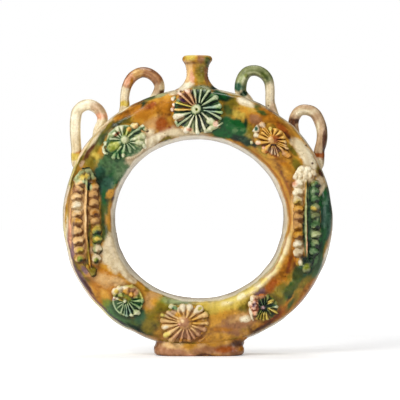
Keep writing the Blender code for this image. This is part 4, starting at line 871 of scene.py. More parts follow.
# Two rows of beads for each spray: half width, half height, seed, and the middles from the top down.
BEAD_ROWS = {
    "left_spray": [
        (5.2, 3.8, 31, [
            (-103.8, 154.4), (-106.3, 148.1), (-107.9, 141.4), (-107.6, 134.2), (-107.3, 126.6), (-107.5, 118.9),
            (-106.9, 110.8), (-106.1, 102.5), (-105.3, 94.4), (-104.2, 86.6),
        ]),
        (4.8, 3.8, 32, [
            (-91.3, 150.2), (-92.1, 143.6), (-92.0, 136.3), (-91.1, 127.9), (-90.6, 119.8), (-89.4, 111.8),
            (-88.7, 103.8), (-88.5, 95.0), (-89.2, 86.8),
        ]),
    ],
    "right_spray": [
        (4.9, 3.75, 41, [
            (88.9, 152.5), (89.1, 145.3), (89.1, 138.4), (89.4, 130.6), (89.6, 123.4), (89.2, 115.5), (89.5, 107.8),
            (88.9, 99.4), (89.2, 91.8),
        ]),
        (4.7, 3.75, 42, [
            (105.0, 153.2), (104.4, 146.2), (104.7, 139.6), (104.9, 132.2), (104.9, 124.6), (105.2, 116.3),
            (105.4, 108.1), (104.4, 100.0), (103.4, 92.6),
        ]),
    ],
}
# The level of each spray's pad, and its strokes.
SPRAY_PADS = {
    "left_spray": (.8, [
        (-99.6, 150, -99.4, 122, 11.5, 13.4, 0), (-99.4, 122, -97.7, 96, 13.4, 12.4, 0),
        (-97.7, 96, -93.5, 80, 12.4, 6, 0),
    ]),
    "right_spray": (.7, [
        (95.6, 152, 97.2, 126, 10.5, 12, 0), (97.2, 126, 97.4, 98, 12, 11, 0), (97.4, 98, 97.0, 84, 11, 6, 0),
    ]),
}
SPRAY_STROKES = {
    "left_spray": [
        # The stem
        (-98.2, 156, -99.3, 130, 1.4, 1.6, 3.2), (-99.3, 130, -98.7, 108, 1.6, 1.4, 3.2),
        (-98.7, 108, -95.0, 81, 1.4, .9, 2.8),
        # The dome and its lobes
        (-100.4, 160.4, -99.0, 160.6, 8.2, 8.2, 1.0), (-107.6, 157.6, -106.8, 159.2, 3.2, 3.2, 2.4),
        (-103.6, 163.6, -102.2, 164.4, 3.2, 3.2, 2.6), (-97.2, 165.2, -96.0, 164.6, 3.3, 3.3, 2.5),
        (-92.2, 160.4, -91.8, 158.8, 3.3, 3.2, 2.6), (-102.4, 158.2, -101.8, 158.6, 3.0, 3.0, 3.0),
        (-96.8, 158.8, -96.6, 158.6, 2.7, 2.6, 2.8),
        # The pendant
        (-92.9, 76.0, -92.6, 73.8, 3.5, 3.2, 3.0), (-97.5, 80.5, -96.0, 77.0, 2.0, 1.8, 1.8),
    ],
    "right_spray": [
        # The stem
        (96.5, 155.5, 96.3, 130, 1.0, 1.3, 3.2), (96.3, 130, 96.7, 108, 1.3, 1.2, 3.2),
        (96.7, 108, 97.8, 86, 1.2, .9, 2.8),
        # The dome and its lobes
        (94.4, 161.2, 95.6, 161.2, 9.0, 9.0, 1.8), (86.8, 160.2, 87.6, 162.2, 3.0, 3.0, 2.3),
        (91.0, 165.8, 92.6, 166.6, 3.1, 3.1, 2.5), (97.6, 167.0, 98.8, 166.6, 3.0, 3.0, 2.4),
        (103.0, 163.4, 103.8, 162.0, 2.9, 2.8, 2.3), (90.8, 160.2, 91.6, 160.6, 2.8, 2.7, 3.0),
        (96.0, 163.0, 96.4, 162.6, 2.5, 2.5, 3.2), (99.8, 160.6, 100.2, 161.2, 2.3, 2.2, 2.8),
        (94.6, 158.6, 94.8, 159.0, 1.9, 1.9, 2.8),
        # The pendant
        (96.8, 77.7, 97.0, 77.5, 4.0, 4.0, 2.9), (91.4, 84.0, 91.9, 82.4, 2.4, 2.2, 2.2),
        (100.4, 85.6, 99.8, 84.0, 2.2, 2.2, 2.0),
    ],
}
SPRAY_LEVEL = .5


def spray_relief(name):
    """The heights of one spray: the highest of its pad, its two rows of beads, and its other strokes."""
    pad_level, pad = SPRAY_PADS[name]

    def relief(x, z):
        top = np.maximum(press(x, z, pad, pad_level), press(x, z, SPRAY_STROKES[name], SPRAY_LEVEL))
        for half_width, half_height, seed, places in BEAD_ROWS[name]:
            top = np.maximum(top, scales(x, z, places, half_width, half_height, seed))
        return top

    return relief


print("beads:", {name: [len(row[3]) for row in rows] for name, rows in BEAD_ROWS.items()})

# %% Drape a relief over the ring
SHOULDER, SHOULDER_DROP = (.72, 1.0), 9
# The rows of a sprig's underside: the share of its outline, and the depth under the face.
UNDERSIDE = ((1.0, 2.5), (.98, 6.0), (.6, 7.0), (0, 7.0))
RIDGE_REACH, VALLEY_REACH = 1.1, 2.3
# The weight of the ridges in the pool, then how far aside and up the painted light compares a sprig's height: on its
# upper left, towards the lamp, with that on its lower right.
RIDGES, LIGHT_ASIDE, LIGHT_UP = 1.1, .9, 1.5


def soften(height, times):
    """Glaze rounds every corner: the mean of a point, counted twice, and its two neighbours along the rows, and
    then the same along the columns."""
    for _ in range(times):
        padded = np.pad(height, ((1, 1), (0, 0)), mode="edge")
        height = (padded[:-2] + 2 * height + padded[2:]) / 4
        height = (np.roll(height, 1, 1) + 2 * height + np.roll(height, -1, 1)) / 4
    return height


def drape(name, x, z, relief, thin, deep, worn, painted_light=.16, level=.08, valleys=.75):
    """A closed sprig on each side. Its top is the relief at the plan points of the grid's rows, standing on the
    crowned face. Its underside follows inside the ring. The pool compares the relief with its mean on two
    circles round it: 1.1 mm finds the thin glaze on ridges, and 2.3 mm the glaze lying in the wider valleys,
    whose darkening is also painted shade in the gaps. The height a little up to the left minus that down to the
    right, times the weight given for it, is added as painted light: paler on the sides that face the lamp at the
    upper left and darker on those turned away. The pool also rises where a spray ends, as pooled glaze and as
    painted shade in the crease. By as much as worn says, noise shifts the relief's points and lays lumps on it,
    as wear and thumbs do."""
    place = np.stack([x, 0 * x, z], axis=-1)
    moved_x = x + worn * (.75 * noise(place, 6.5, 73) + .35 * noise(place, 2.6, 74))
    moved_z = z + worn * (.75 * noise(place, 6.5, 75) + .35 * noise(place, 2.6, 76))
    height = soften(relief(moved_x, moved_z), 2)
    near, wide = (sum(relief(moved_x + reach * math.cos(a), moved_z + reach * math.sin(a))
                      for a in np.arange(8) * math.pi / 4) / 8 for reach in (RIDGE_REACH, VALLEY_REACH))
    lumps = worn * (.35 * noise(place, 2.8, 71) + .40 * noise(place, 7, 72) + .22 * noise(place, 1.5, 77))
    lumps = lumps * ease(height, 0, 1.5)
    # Painted light: the relief up to the left minus that down to the right, so the sides facing the lamp turn paler
    # and those turned away darker.
    slant = relief(moved_x - LIGHT_ASIDE, moved_z + LIGHT_UP) - relief(moved_x + LIGHT_ASIDE, moved_z - LIGHT_UP)
    pool = (near - height) * RIDGES + (wide - height) * valleys + level - .5 * lumps + painted_light * slant
    pool = np.clip(pool, -1, 1)
    pool = np.where(pool < 0, pool * thin, pool * deep)
    # Painted shade as well as pooled glaze where a spray's relief is low: between its beads and round its edge.
    if name in SPRAYS:
        pool = np.maximum(pool, .62 * ease(-height, -1.7, -.9))
    middle_x, middle_z = x.mean(), z.mean()
    for side, way in (("front", 1), ("back", -1)):
        _, share = share_across(way * x, z)
        sunk = SHOULDER_DROP * ease(-height, 0, 1) * ease(np.abs(share), *SHOULDER)
        top = np.stack([way * x, -way * (face_depth(share) + height + lumps - sunk), z], axis=-1)
        top[..., 1] -= way * hand(top) * .8
        below = []
        for shrink, depth in UNDERSIDE:
            row_x, row_z = middle_x + (x[-1] - middle_x) * shrink, middle_z + (z[-1] - middle_z) * shrink
            _, row_share = share_across(way * row_x, row_z)
            depth = depth + SHOULDER_DROP * ease(np.abs(row_share), *SHOULDER)
            below.append(np.stack([way * row_x, -way * (face_depth(row_share) - depth), row_z], axis=-1))
        grid = np.concatenate([top, np.array(below)])
        grid[-1] = grid[-1].mean(axis=0)
        flat = grid.reshape(-1, 3)
        shade = np.concatenate([pool, np.ones((len(UNDERSIDE), x.shape[1]))]).ravel()
        shade = np.clip(shade + .28 * noise(flat, 5, 36) + .28 * noise(flat, 1.7, 38), -1, 1)
        colour = tone(paint(flat, FRONT_SPLASHES + SPRIG_SPLASHES_AND_LIGHT, BACK_SPLASHES, stray=.35), shade)
        pieces.append(skin(side + "_" + name, grid, colour, shade, [side + "_" + name]))

# %% The discs, as (slot, share of the thin tone, share of the pooled tone, wear)
DISC_LOOKS = {
    "crest_rosette": ("green_glaze", .8, 1.0, .5),
    "upper_left_rosette": ("green_glaze", .6, .65, 1.0),
    "upper_right_rosette": ("amber_glaze", .5, .85, .7),
    "lower_left_medallion": ("green_glaze", .5, .8, .8),
    "lower_right_medallion": ("green_glaze", .35, .9, .8),
    "base_rosette": ("amber_glaze", .45, .65, .6),
}
COLUMN_GAP, ROW_GAP, DISC_REACH, FACE_LIMIT = .40, .34, 1.17, .94
for name, (centre_x, centre_z, radius_x, radius_z) in DISCS.items():
    reach = np.linspace(0, DISC_REACH, int(radius_x / ROW_GAP))[:, None]
    way = np.linspace(0, 2 * math.pi, int(2 * math.pi * radius_x / COLUMN_GAP), endpoint=False)[None, :]
    p, q = reach * radius_x * np.cos(way), reach * radius_z * np.sin(way)
    on_face = np.maximum(*(np.abs(share_across(side * (centre_x + p), centre_z + q)[1]) for side in (1, -1)))
    within = (reach * (on_face < FACE_LIMIT)).max(axis=0) / reach.max()
    p, q = p * within, q * within
    relief, (slot, thin, deep, worn) = relief_of(name), DISC_LOOKS[name]
    drape(name, centre_x + p, centre_z + q, lambda x, z: relief(x - centre_x, z - centre_z), thin, deep, worn)

# %% The sprays' grids, inside outlines of (height, left limit, right limit)
SPRAY_LIMITS = {
    "left_spray": [
        (67, -94, -89), (72, -98.5, -86.5), (78, -104, -84.5), (86, -110, -82.4), (96, -112.4, -82),
        (120, -114.2, -83.2), (148, -114, -85), (158, -112, -87), (165, -107.5, -90.5), (170.5, -101.5, -95.5),
    ],
    "right_spray": [
        (70, 93, 99.5), (75, 90, 103), (84, 86, 107), (94, 84, 109.6), (120, 82.6, 111), (148, 82.6, 111),
        (160, 83, 108.8), (168, 86.5, 105.5), (174, 92, 100.5),
    ],
}
SPRAY_COLUMNS, SPRAY_ROWS, SQUARENESS = 600, 70, .62
for name, slot in (("left_spray", "amber_glaze"), ("right_spray", "green_glaze")):
    limits = np.array(SPRAY_LIMITS[name])
    way = np.linspace(0, 2 * math.pi, SPRAY_COLUMNS, endpoint=False)[None, :]
    reach = np.linspace(0, 1, SPRAY_ROWS)[:, None]
    aside, upward = (reach * np.sign(turn) * np.abs(turn) ** SQUARENESS for turn in (np.cos(way), np.sin(way)))
    z = limits[0, 0] + (limits[-1, 0] - limits[0, 0]) * (.5 + .5 * upward)
    left, right = (np.interp(z, limits[:, 0], limits[:, limit]) for limit in (1, 2))
    # Strong painted light on the sprays' beads: paler on their upper left, darker on their lower right.
    drape(name, left + (right - left) * (.5 + .5 * aside), z, spray_relief(name), 1.0, 1.0, .6,
          painted_light=.48, level=-.05, valleys=.5)

# %% [markdown]
# ## The neck
# The neck was thrown on the wheel and stuck into the crest: a rolled lip over a waist, flaring where it meets
# the ring. A turned profile gives it, but its root isn't round: it is draped over the saddle of the ring.

# %% Turn the neck
# Down the neck's left side the biscuit splash is partly the glaze and partly painted light from the lamp at the left,
# and the narrow pink stripe is a painted highlight.
NECK_SPLASHES_AND_LIGHT = [
    ("honey", 0, 256, 16, 20, 0, .5), ("biscuit", -8, 256, 4, 12, 0, .6), ("olive", 4, 254, 7, 10, 0, .7),
    ("straw", -6, 266, 6, 3, 0, .6), ("umber", 8, 252, 2.6, 9, 0, .7), ("pink", -5.5, 248, 2.0, 7, 0, .7),
    ("umber", 3, 265, 3, 4, 0, .7), ("moss", 9, 264, 3, 5, 0, .7), ("pale", -11, 241, 7, 4, 20, .5),
    ("lichen", 4, 239, 10, 3, 0, .6), ("bottle", 17, 238, 8, 3, -20, .6),
]
# The profile as (radius, height), from the bottom of the bore over the lip and down to the root.
NECK_PROFILE = through([
    (0, 242.0), (3.0, 242.2), (5.6, 244), (6.0, 252), (6.2, 260), (7.4, 265.2), (8.4, 267.6), (9.6, 268.8),
    (11.0, 268.9), (12.4, 268.2), (13.3, 266.4), (13.2, 264.6), (12.1, 263.0), (11.1, 261.4), (10.2, 259),
    (9.75, 256), (9.5, 252.4), (9.8, 249.8), (10.6, 247.6), (12.0, 245.4), (13.9, 243.4), (16.2, 241.7),
    (18.6, 240.6), (21.0, 239.6), (22.0, 237.5), (14.0, 231), (0, 230),
], 240)
NECK_COLUMNS, BORE_LEVELS, BORE_RADIUS, ROOT_BURIED = 128, 110, 9, .4
THROAT_TOP, LIP_RING, LIP_CROWN = 258, 262, 267.5
# Near black for the painted shade deep in the bore.
BORE_SHADE = (26, 16, 10)


def ring_top(x, y):
    """Height of the ring's outer wall over a point near the top: the oval z = c + b * sqrt(1 - (x/a)^2), with
    the half sizes a and b that the section has at that depth."""
    share = np.interp(np.abs(y) / DEPTH_HALF, QUARTER[::-1, 1], QUARTER[::-1, 0])
    wide, tall = OVAL_HALF_WIDTH + TUBE_HALF * share, OVAL_HALF_HEIGHT + TUBE_HALF * share
    return RING_CENTRE + tall * np.sqrt(np.clip(1 - (x / wide) ** 2, 0, 1))


way = np.linspace(0, 2 * math.pi, NECK_COLUMNS, endpoint=False)[None, :]
radius, height = NECK_PROFILE[:, :1], NECK_PROFILE[:, 1:]
wobble = 1 + .012 * np.sin(2 * way + .6) + .006 * np.sin(3 * way + 2)
ridges = .10 * np.sin(height * 2.6) * ease(height, 246, 250) * ease(-height, -LIP_RING, -THROAT_TOP) * (radius > 7)
x, y = (radius + ridges) * wobble * np.cos(way), (radius + ridges) * wobble * np.sin(way)
z = height + 0 * way
low = ease(-z, -250, -242)
outside = np.arange(len(radius))[:, None] > BORE_LEVELS
crest = RING_CENTRE + OVAL_HALF_HEIGHT + TUBE_HALF
z = z + np.where(outside, low * (ring_top(x, y) - crest - ROOT_BURIED), 0)
points = np.stack([x - .3, y, z], axis=-1)
flat = points.reshape(-1, 3)
inside_bore = (~outside & (radius < BORE_RADIUS)) + 0 * way > 0
pool = (.3 * noise(flat, 7, 41) + .25 * noise(flat, 2.5, 42)).reshape(x.shape)
pool = pool + .45 * np.exp(-((height - LIP_RING) / 1.2) ** 2)
pool = np.where(height > LIP_CROWN, -.35, pool)
colour = tone(coat(flat, "amber", NECK_SPLASHES_AND_LIGHT), pool.ravel())
# Painted shade down the bore: below 264 mm its colour darkens towards near black, fully so from 252 mm.
dark = (ease(-(height + 0 * way), -264, -252) * inside_bore).ravel()[:, None]
colour = colour * (1 - dark) + linear(BORE_SHADE) * dark
pieces.append(skin("neck_thrown", points, colour, pool, ["neck"]))

# %% [markdown]
# ## The handles
# Each handle is a rolled coil, bent while soft and pressed down at both ends, where the thumb drew a tail of
# clay along the ring. A curve with a bevel would be even all along. A section carried along the path by numpy
# can swell, flatten and carry the long grooves that a hand leaves.

# %% Bend the coils
# The path of each coil as (x, z, half thickness), from its outer end over the top.
HANDLES = {
    "handle_outer_left": [
        (-109.0, 166, .4), (-110.4, 171, 2.9), (-109.2, 178.5, 4.9), (-109.2, 185.6, 4.6), (-110.2, 199.1, 4.7),
        (-109.9, 211.7, 4.8), (-107.3, 220.7, 4.8), (-98.8, 224.9, 4.9), (-90.5, 221.6, 4.9), (-86.0, 214.8, 4.7),
        (-86.2, 208.6, 4.6), (-90.4, 202.0, 3.4), (-94.6, 194.5, .5),
    ],
    "handle_inner_left": [
        (-74.0, 207.5, .4), (-68.8, 214.8, 3.2), (-65.7, 223.4, 4.3), (-65.7, 231.5, 4.0), (-63.8, 241.4, 4.3),
        (-59.5, 248.9, 4.6), (-53.6, 253.1, 4.7), (-47.7, 254.1, 4.6), (-41.4, 251.9, 4.7), (-36.5, 247.2, 4.7),
        (-34.4, 241.4, 4.6), (-35.8, 235.6, 4.6), (-41.0, 229.6, 3.2), (-49.5, 224.0, .5),
    ],
    "handle_inner_right": [
        (78.0, 203.5, .4), (71.0, 213.6, 3.0), (66.4, 222.0, 4.6), (65.2, 228.8, 4.1), (65.2, 236.9, 4.1),
        (64.4, 244.5, 4.3), (61.6, 250.4, 4.6), (56.7, 254.3, 4.7), (50.9, 255.8, 4.7), (45.0, 254.4, 4.9),
        (40.5, 249.0, 5.2), (38.6, 241.8, 5.3), (39.6, 235.4, 5.0), (46.0, 229.0, 3.6), (57.0, 219.0, .5),
    ],
    "handle_outer_right": [
        (110.0, 164.5, .4), (110.6, 171.0, 3.1), (109.4, 178.5, 4.8), (109.6, 184.2, 4.7), (111.6, 191.9, 4.7),
        (112.0, 200.9, 4.7), (109.6, 210.3, 4.8), (104.9, 217.7, 4.8), (97.7, 220.5, 4.7), (91.4, 219.1, 4.6),
        (87.2, 213.5, 4.6), (86.2, 206.3, 4.5), (88.6, 199.0, 3.4), (93.5, 190.5, .5),
    ],
}
HANDLE_SPLASHES = {
    "handle_outer_left": [
        ("pale", -104, 214, 18, 16, 0, .5), ("amber", -106, 181, 3, 4.5, 90, .5),
        ("straw", -111, 178, 3, 8, 90, .5), ("buff", -89, 221, 8, 5, -35, .6), ("pink", -90, 214, 3, 8, 90, .7),
    ],
    "handle_inner_left": [
        ("umber", -52, 250, 22, 13.5, 0, .15), ("pink", -60, 248, 8, 4, 50, .6),
        ("caramel", -54, 253, 6, 4, 20, .6), ("umber", -37, 248, 4, 4, 0, .6), ("amber", -60, 243, 7, 2, 80, .6),
        ("brown", -33.0, 236, 2.0, 5, 90, .5), ("buff", -37, 239, 5, 3, 90, .6),
        ("straw", -68, 226, 2.4, 8, 90, .6),
    ],
    "handle_inner_right": [
        ("lichen", 50, 249, 19.5, 15, 0, .10), ("celadon", 39, 247, 6, 3, 60, .6), ("teal", 36, 240, 4, 5, 90, .6),
        ("moss", 44, 250, 2, 2, 30, .7), ("bottle", 41, 234, 3, 4, 90, .5), ("moss", 60, 251, 5, 2, -40, .6),
        ("moss", 65, 243, 4, 4, 90, .6), ("cream", 66, 230, 16, 8, 90, .3), ("buff", 68, 222, 6, 3, 90, .6),
    ],
    "handle_outer_right": [
        ("buff", 98, 204, 20, 30, 0, .3), ("cream", 96, 218, 10, 3.4, 0, .6),
        ("brown", 113.6, 190, 15, 2.2, 86, .6), ("rust", 111, 180, 2.6, 9, 90, .6),
        ("brown", 88, 210, 2, 8, 90, .6), ("brown", 84.8, 205, 8, 3.4, 90, .6), ("cream", 106, 200, 10, 2, 80, .7),
    ],
}
PATH_POINTS, COIL_STEPS, COIL_COLUMNS = 400, 150, 56
for name, path in HANDLES.items():
    line = even(through(path, PATH_POINTS), COIL_STEPS)
    centre = np.stack([line[:, 0], 0 * line[:, 0], line[:, 1]], axis=-1)
    centre[:, 1] = .9 * noise(centre, 26, 51)
    along = np.gradient(centre, axis=0)
    along /= np.linalg.norm(along, axis=1, keepdims=True)
    outwards = np.stack([-along[:, 2], 0 * along[:, 1], along[:, 0]], axis=-1)
    outwards /= np.linalg.norm(outwards, axis=1, keepdims=True)
    sideways = np.cross(along, outwards)
    way = np.linspace(0, 2 * math.pi, COIL_COLUMNS, endpoint=False)[None, :]
    step = np.linspace(0, 1, len(line))[:, None]
    twist = way + .5 * np.sin(3 * step + 1)
    groove = .035 * np.cos(5 * twist) + .03 * np.cos(3 * twist + 2 * step) + .02 * np.cos(9 * twist)
    reach = line[:, 2:3] * (1 + groove)
    spread = 1 + .30 * ease(np.abs(step - .5), .38, .5)
    points = (centre[:, None] + outwards[:, None] * (reach * np.cos(way))[..., None]
              + sideways[:, None] * (reach * spread * np.sin(way))[..., None])
    points += (.16 * noise(points, 6, 52))[..., None] * (points - centre[:, None]) / line[:, 2][:, None, None]
    points[0], points[-1] = centre[0], centre[-1]
    flat = points.reshape(-1, 3)
    pool = (-5 * groove + 0 * reach).ravel() + .3 * noise(flat, 6, 53) + .25 * noise(flat, 2, 54)
    colour = tone(coat(flat, "cream", HANDLE_SPLASHES[name]), pool)
    pieces.append(skin(name + "_coil", points, colour, pool, [name]))

# %% [markdown]
# ## The foot
# The ring is bedded in an oblong slab, cut with a wire and pressed until it bulges. Its underside is bare clay
# with a shallow recess, so that it stands on a rim. Rows of a rounded rectangle, from the middle of the
# recess out over the rim and up the sides, close it in one skin.

# %% Press the foot
FOOT_HALF_WIDTH, FOOT_HALF_DEPTH, FOOT_MIDDLE = 40.4, 24.0, 1.5
PROFILE_POINTS, FOOT_LEVELS, FOOT_COLUMNS, UPPER_SIDE = 600, 110, 300, 5
# Levels as (share of the half sizes, height, 0 under the slab or 1 above).
FOOT_ROWS = [
    (0, 2.8, 0), (.45, 2.8, 0), (.74, 2.6, 0), (.80, 1.2, 0), (.83, .15, 0), (.875, 0, 0), (.92, .15, 0),
    (.965, .9, 1), (.99, 2.4, 1), (1.0, 4.4, 1), (.99, 6.6, 1), (.97, 8.6, 1), (.955, 10.6, 1), (.945, 12.6, 1),
    (.945, 14.6, 1), (.95, 16.6, 1), (.92, 18.6, 1), (.5, 20.4, 1), (0, 20.8, 1),
]
profile = [(share * FOOT_HALF_WIDTH, height, above * UPPER_SIDE) for share, height, above in FOOT_ROWS]
levels = even(through(profile, PROFILE_POINTS), FOOT_LEVELS)
way = np.linspace(0, 2 * math.pi, FOOT_COLUMNS, endpoint=False)[None, :]
square = (np.abs(np.cos(way)) ** 4 + np.abs(np.sin(way)) ** 4) ** -.25
grow, lift = levels[:, :1] / FOOT_HALF_WIDTH, levels[:, 1:2]
bulge_right = 2.0 * ease(lift, 7, 12) + 3.5 * ease(lift, 12, 17)
x = FOOT_MIDDLE + FOOT_HALF_WIDTH * grow * square * np.cos(way) + bulge_right * ease(np.cos(way), 0, .8)
x = x - 3.0 * ease(lift, 12, 17) * ease(-np.cos(way), 0, .8)
y = FOOT_HALF_DEPTH * grow * square * np.sin(way)
points = np.stack([x, y, lift + 0 * way], axis=-1)
rough = .9 * noise(points, 10, 61) + .55 * noise(points, 4.5, 62) + .2 * noise(points, 1.8, 63)
side = ease(lift, .3, 2.5)
points[..., 0] += rough * side * np.cos(way)
points[..., 1] += rough * side * np.sin(way)
points[0], points[-1] = points[0].mean(axis=0), points[-1].mean(axis=0)
flat = points.reshape(-1, 3)
FOOT_SPLASHES = [
    ("honey", 4, 9, 34, 9, 0, .6), ("clay", -30, 7, 14, 7, 0, .6), ("umber", -35, 6, 7, 8, 0, .7),
    ("biscuit", -18, 11, 12, 4, 0, .6), ("clay", -18, 5, 18, 4, 0, .6), ("amber", -4, 10, 10, 3, 0, .7),
    ("caramel", 0, 8, 12, 5, 0, .6), ("honey", 20, 12, 9, 4, 0, .6), ("umber", 0, 13, 6, 3, 0, .6),
    ("umber", 10, 5, 16, 3.6, 0, .6), ("umber", 27, 6, 10, 7, 0, .6), ("brown", 35, 9, 5, 8, 70, .7),
    ("umber", 37, 4, 4, 6, 70, .6), ("amber", 41, 7, 2.6, 5, 90, .6), ("umber", -33, 14, 8, 3, 0, .6),
    ("brown", 6, 1, 9, 1.3, 0, .6), ("pink", -6, 1, 5, 1.2, 0, .6), ("honey", 14, 14, 14, 3.6, 0, .6),
    ("honey", -6, 11, 8, 3, 10, .7), ("rust", 25, 6, 8, 3, 0, .7), ("biscuit", -22, 10, 7, 2.4, 0, .8),
]
# Darker along the foot's lowest 2 mm.
pool = .35 * noise(flat, 6, 65) + .3 * noise(flat, 2.4, 66) + .5 * ease(-flat[:, 2], -2.2, -.4)
colour = tone(coat(flat, "amber", FOOT_SPLASHES), pool)
bare_levels = np.searchsorted(levels[:, 2], .4 * UPPER_SIDE)
bare = ((np.arange(FOOT_LEVELS)[:, None] < bare_levels) + 0 * way).ravel()
colour = band(colour, bare * .95, "buff")
pieces.append(skin("foot_slab", points, colour, pool, ["foot"]))

# %% [markdown]
# ## The glaze's surface
# Glaze is glass, so the shader is glossy with a clear coat. Fine noises on object coordinates mottle the
# painted colour, iron specks spot it, and a web of hairlines crackles it. The same noises and the web dent the
# surface as bump, and the broad noise the coat too, because they are too fine for the mesh.

# %% Helpers for nodes
def feed(tree, node, inputs):
    """Each input, by name or number: linked when it gets another node's output, and set when it gets a value."""
    for key, value in dict(inputs).items():
        if isinstance(value, bpy.types.NodeSocket):
            tree.links.new(value, node.inputs[key])
        else:
            node.inputs[key].default_value = value
    return node


def add(tree, kind, inputs=(), **settings):
    """A new node in the tree with these settings of its own, fed with these inputs."""
    made = tree.nodes.new(kind)
    for key, value in settings.items():
        setattr(made, key, value)
    return feed(tree, made, inputs)


def ramp(tree, value, low, high, low_out=0.0, high_out=1.0):
    """low_out where the value is low, high_out where it is high, a straight line between, and no further."""
    return add(tree, "ShaderNodeMapRange", {"Value": value, "From Min": low, "From Max": high,
                                            "To Min": low_out, "To Max": high_out}).outputs["Result"]

# %% Mix the glaze material
def glaze_material():
    """Painted colour, mottled and speckled, under a clear glassy coat. Each pattern multiplies the colour by a
    tint, by as much as a ramp over it says, and the bumps are laid over one another."""
    material = bpy.data.materials.new("splashed_glaze")
    material.use_nodes = True
    tree = material.node_tree
    place = add(tree, "ShaderNodeTexCoord").outputs["Object"]
    broad, fine, specks = (
        add(tree, "ShaderNodeTexNoise",
            {"Vector": place, "Scale": scale, "Detail": detail, "Roughness": rough}).outputs[0]
        for scale, detail, rough in ((170.0, 3.0, .6), (620.0, 4.0, .7), (430.0, 1.0, .4)))
    web = add(tree, "ShaderNodeTexVoronoi", {"Vector": place, "Scale": 300.0, "Randomness": 1.0},
              feature="DISTANCE_TO_EDGE").outputs[0]
    colour = add(tree, "ShaderNodeAttribute", attribute_name="glaze").outputs["Color"]
    for pattern, low, high, most, tint in (
            (broad, .45, .75, .40, (.68, .56, .40, 1)), (broad, .45, .25, .50, (1.28, 1.24, 1.12, 1)),
            (fine, .52, .8, .55, (1.35, 1.32, 1.25, 1)), (fine, .48, .25, .40, (.50, .42, .36, 1)),
            (specks, .765, .80, .8, (.20, .13, .09, 1)), (web, .022, .0, .15, (.45, .36, .30, 1))):
        colour = add(tree, "ShaderNodeMix", {0: ramp(tree, pattern, low, high, 0, most), 6: colour, 7: tint},
                     data_type="RGBA", blend_type="MULTIPLY").outputs[2]
    pool = add(tree, "ShaderNodeAttribute", attribute_name="pool").outputs["Fac"]

    def bump(height, strength, distance, under=()):
        return add(tree, "ShaderNodeBump", {"Height": height, "Strength": strength, "Distance": distance,
                                            **dict(under)}).outputs["Normal"]

    surface = bump(fine, .25, .0002, {"Normal": bump(broad, .55, .0006)})
    feed(tree, tree.nodes["Principled BSDF"], {
        "Base Color": colour, "Roughness": ramp(tree, pool, -1, 1, .34, .20), "Specular IOR Level": .18,
        "Coat Weight": .30, "Coat Roughness": .07, "Coat IOR": 1.5, "Coat Normal": bump(broad, .8, .0007),
        "Normal": bump(ramp(tree, web, 0, .03), .15, .0001, {"Normal": surface})})
    return material


glaze = glaze_material()
for piece in pieces:
    piece.data.materials.append(glaze)
print("glaze on", len(pieces), "pieces")

# %% [markdown]
# ## White stage, soft light and a long lens
# The flask stands on a white sweep that only its own shadow greys. A large soft key lamp at the upper left
# gives it form, and a fill at the right and a lamp above open the shadows. The glaze doesn't mirror the key,
# because so large a lamp would lay a grey veil over the shoulder. A small lamp beside it gives the glints. The
# camera stands two metres off at mid height, straight on, with a long lens.

# %% The white floor
def stage_material():
    """White floor: diffuse, and for the camera it glows too. The glow rises in a straight line from 0.3 at 0.35 m
    from the flask to 1 at 0.9 m, so that the shadow stays and the floor ends in pure white."""
    material = bpy.data.materials.new("white_sweep")
    material.use_nodes = True
    tree = material.node_tree
    place = add(tree, "ShaderNodeTexCoord").outputs["Object"]
    far = add(tree, "ShaderNodeVectorMath", {0: place}, operation="LENGTH").outputs["Value"]
    seen = add(tree, "ShaderNodeLightPath").outputs["Is Camera Ray"]
    glow = add(tree, "ShaderNodeMath", {0: seen, 1: ramp(tree, far, .35, .9, .30, 1.0)}, operation="MULTIPLY")
    feed(tree, tree.nodes["Principled BSDF"], {
        "Base Color": (.86, .86, .86, 1), "Roughness": .9, "Specular IOR Level": 0,
        "Emission Color": (1, 1, 1, 1), "Emission Strength": glow.outputs[0]})
    return material


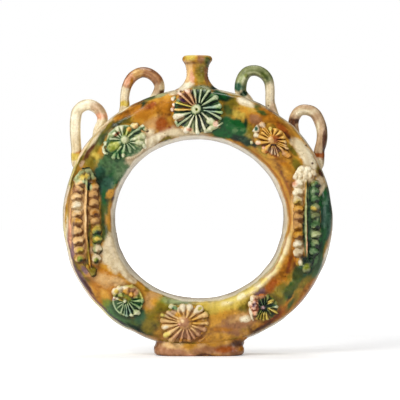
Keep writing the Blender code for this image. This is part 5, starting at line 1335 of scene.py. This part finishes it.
sweep = bpy.data.meshes.new("floor")
sweep.from_pydata([(-6, -4, 0), (6, -4, 0), (6, 8, 0), (-6, 8, 0)], [], [(0, 1, 2, 3)])
floor = bpy.data.objects.new("floor", sweep)
bpy.context.scene.collection.objects.link(floor)
floor.data.materials.append(stage_material())

# %% The light all round, weaker where the glaze mirrors it and full where the camera sees it
AMBIENT, MIRRORED = .33, .08
world = bpy.data.worlds.new("studio")
bpy.context.scene.world = world
world.use_nodes = True
tree = world.node_tree
rays = add(tree, "ShaderNodeLightPath").outputs
seen = add(tree, "ShaderNodeMath", {0: rays["Is Camera Ray"], 1: rays["Is Transmission Ray"]}, operation="MAXIMUM")
unseen = ramp(tree, rays["Is Glossy Ray"], 0, 1, AMBIENT, MIRRORED)
feed(tree, tree.nodes["Background"], {
    "Color": (1, 1, 1, 1), "Strength": ramp(tree, seen.outputs[0], 0, 1, unseen, 1.0)})

# %% Four lamps
FLASK_MIDDLE = (0, 0, .13)


def softbox(name, place, size, power, mirrored=True):
    """A square area lamp at a place, turned along the line from there to the flask's middle."""
    lamp = bpy.data.lights.new(name, "AREA")
    lamp.size, lamp.energy = size, power
    made = bpy.data.objects.new(name, lamp)
    made.location = place
    made.rotation_euler = (Vector(FLASK_MIDDLE) - Vector(place)).to_track_quat("-Z", "Y").to_euler()
    made.visible_glossy = mirrored
    bpy.context.scene.collection.objects.link(made)


softbox("key", (-1.05, -1.25, 1.1), 1.3, 27.5, mirrored=False)
softbox("glint", (-.75, -1.5, 1.25), .24, 4.5)
softbox("fill", (1.4, -1.3, .5), .6, 4.5)
softbox("top", (.1, .4, 1.6), .8, 8)

# %% Camera and the last lines
CAMERA_AWAY, CAMERA_ASIDE, CAMERA_HEIGHT = 2.0, .00225, .1392
SENSOR_WIDTH, VIEW_WIDTH = 36, .360
camera = bpy.data.cameras.new("camera")
camera.lens = SENSOR_WIDTH * CAMERA_AWAY / VIEW_WIDTH
camera.clip_end = 50
viewer = bpy.data.objects.new("camera", camera)
viewer.location = (CAMERA_ASIDE, -CAMERA_AWAY, CAMERA_HEIGHT)
viewer.rotation_euler = (math.pi / 2, 0, 0)
bpy.context.scene.collection.objects.link(viewer)
bpy.context.scene.camera = viewer
bpy.context.scene.view_settings.view_transform = "Standard"
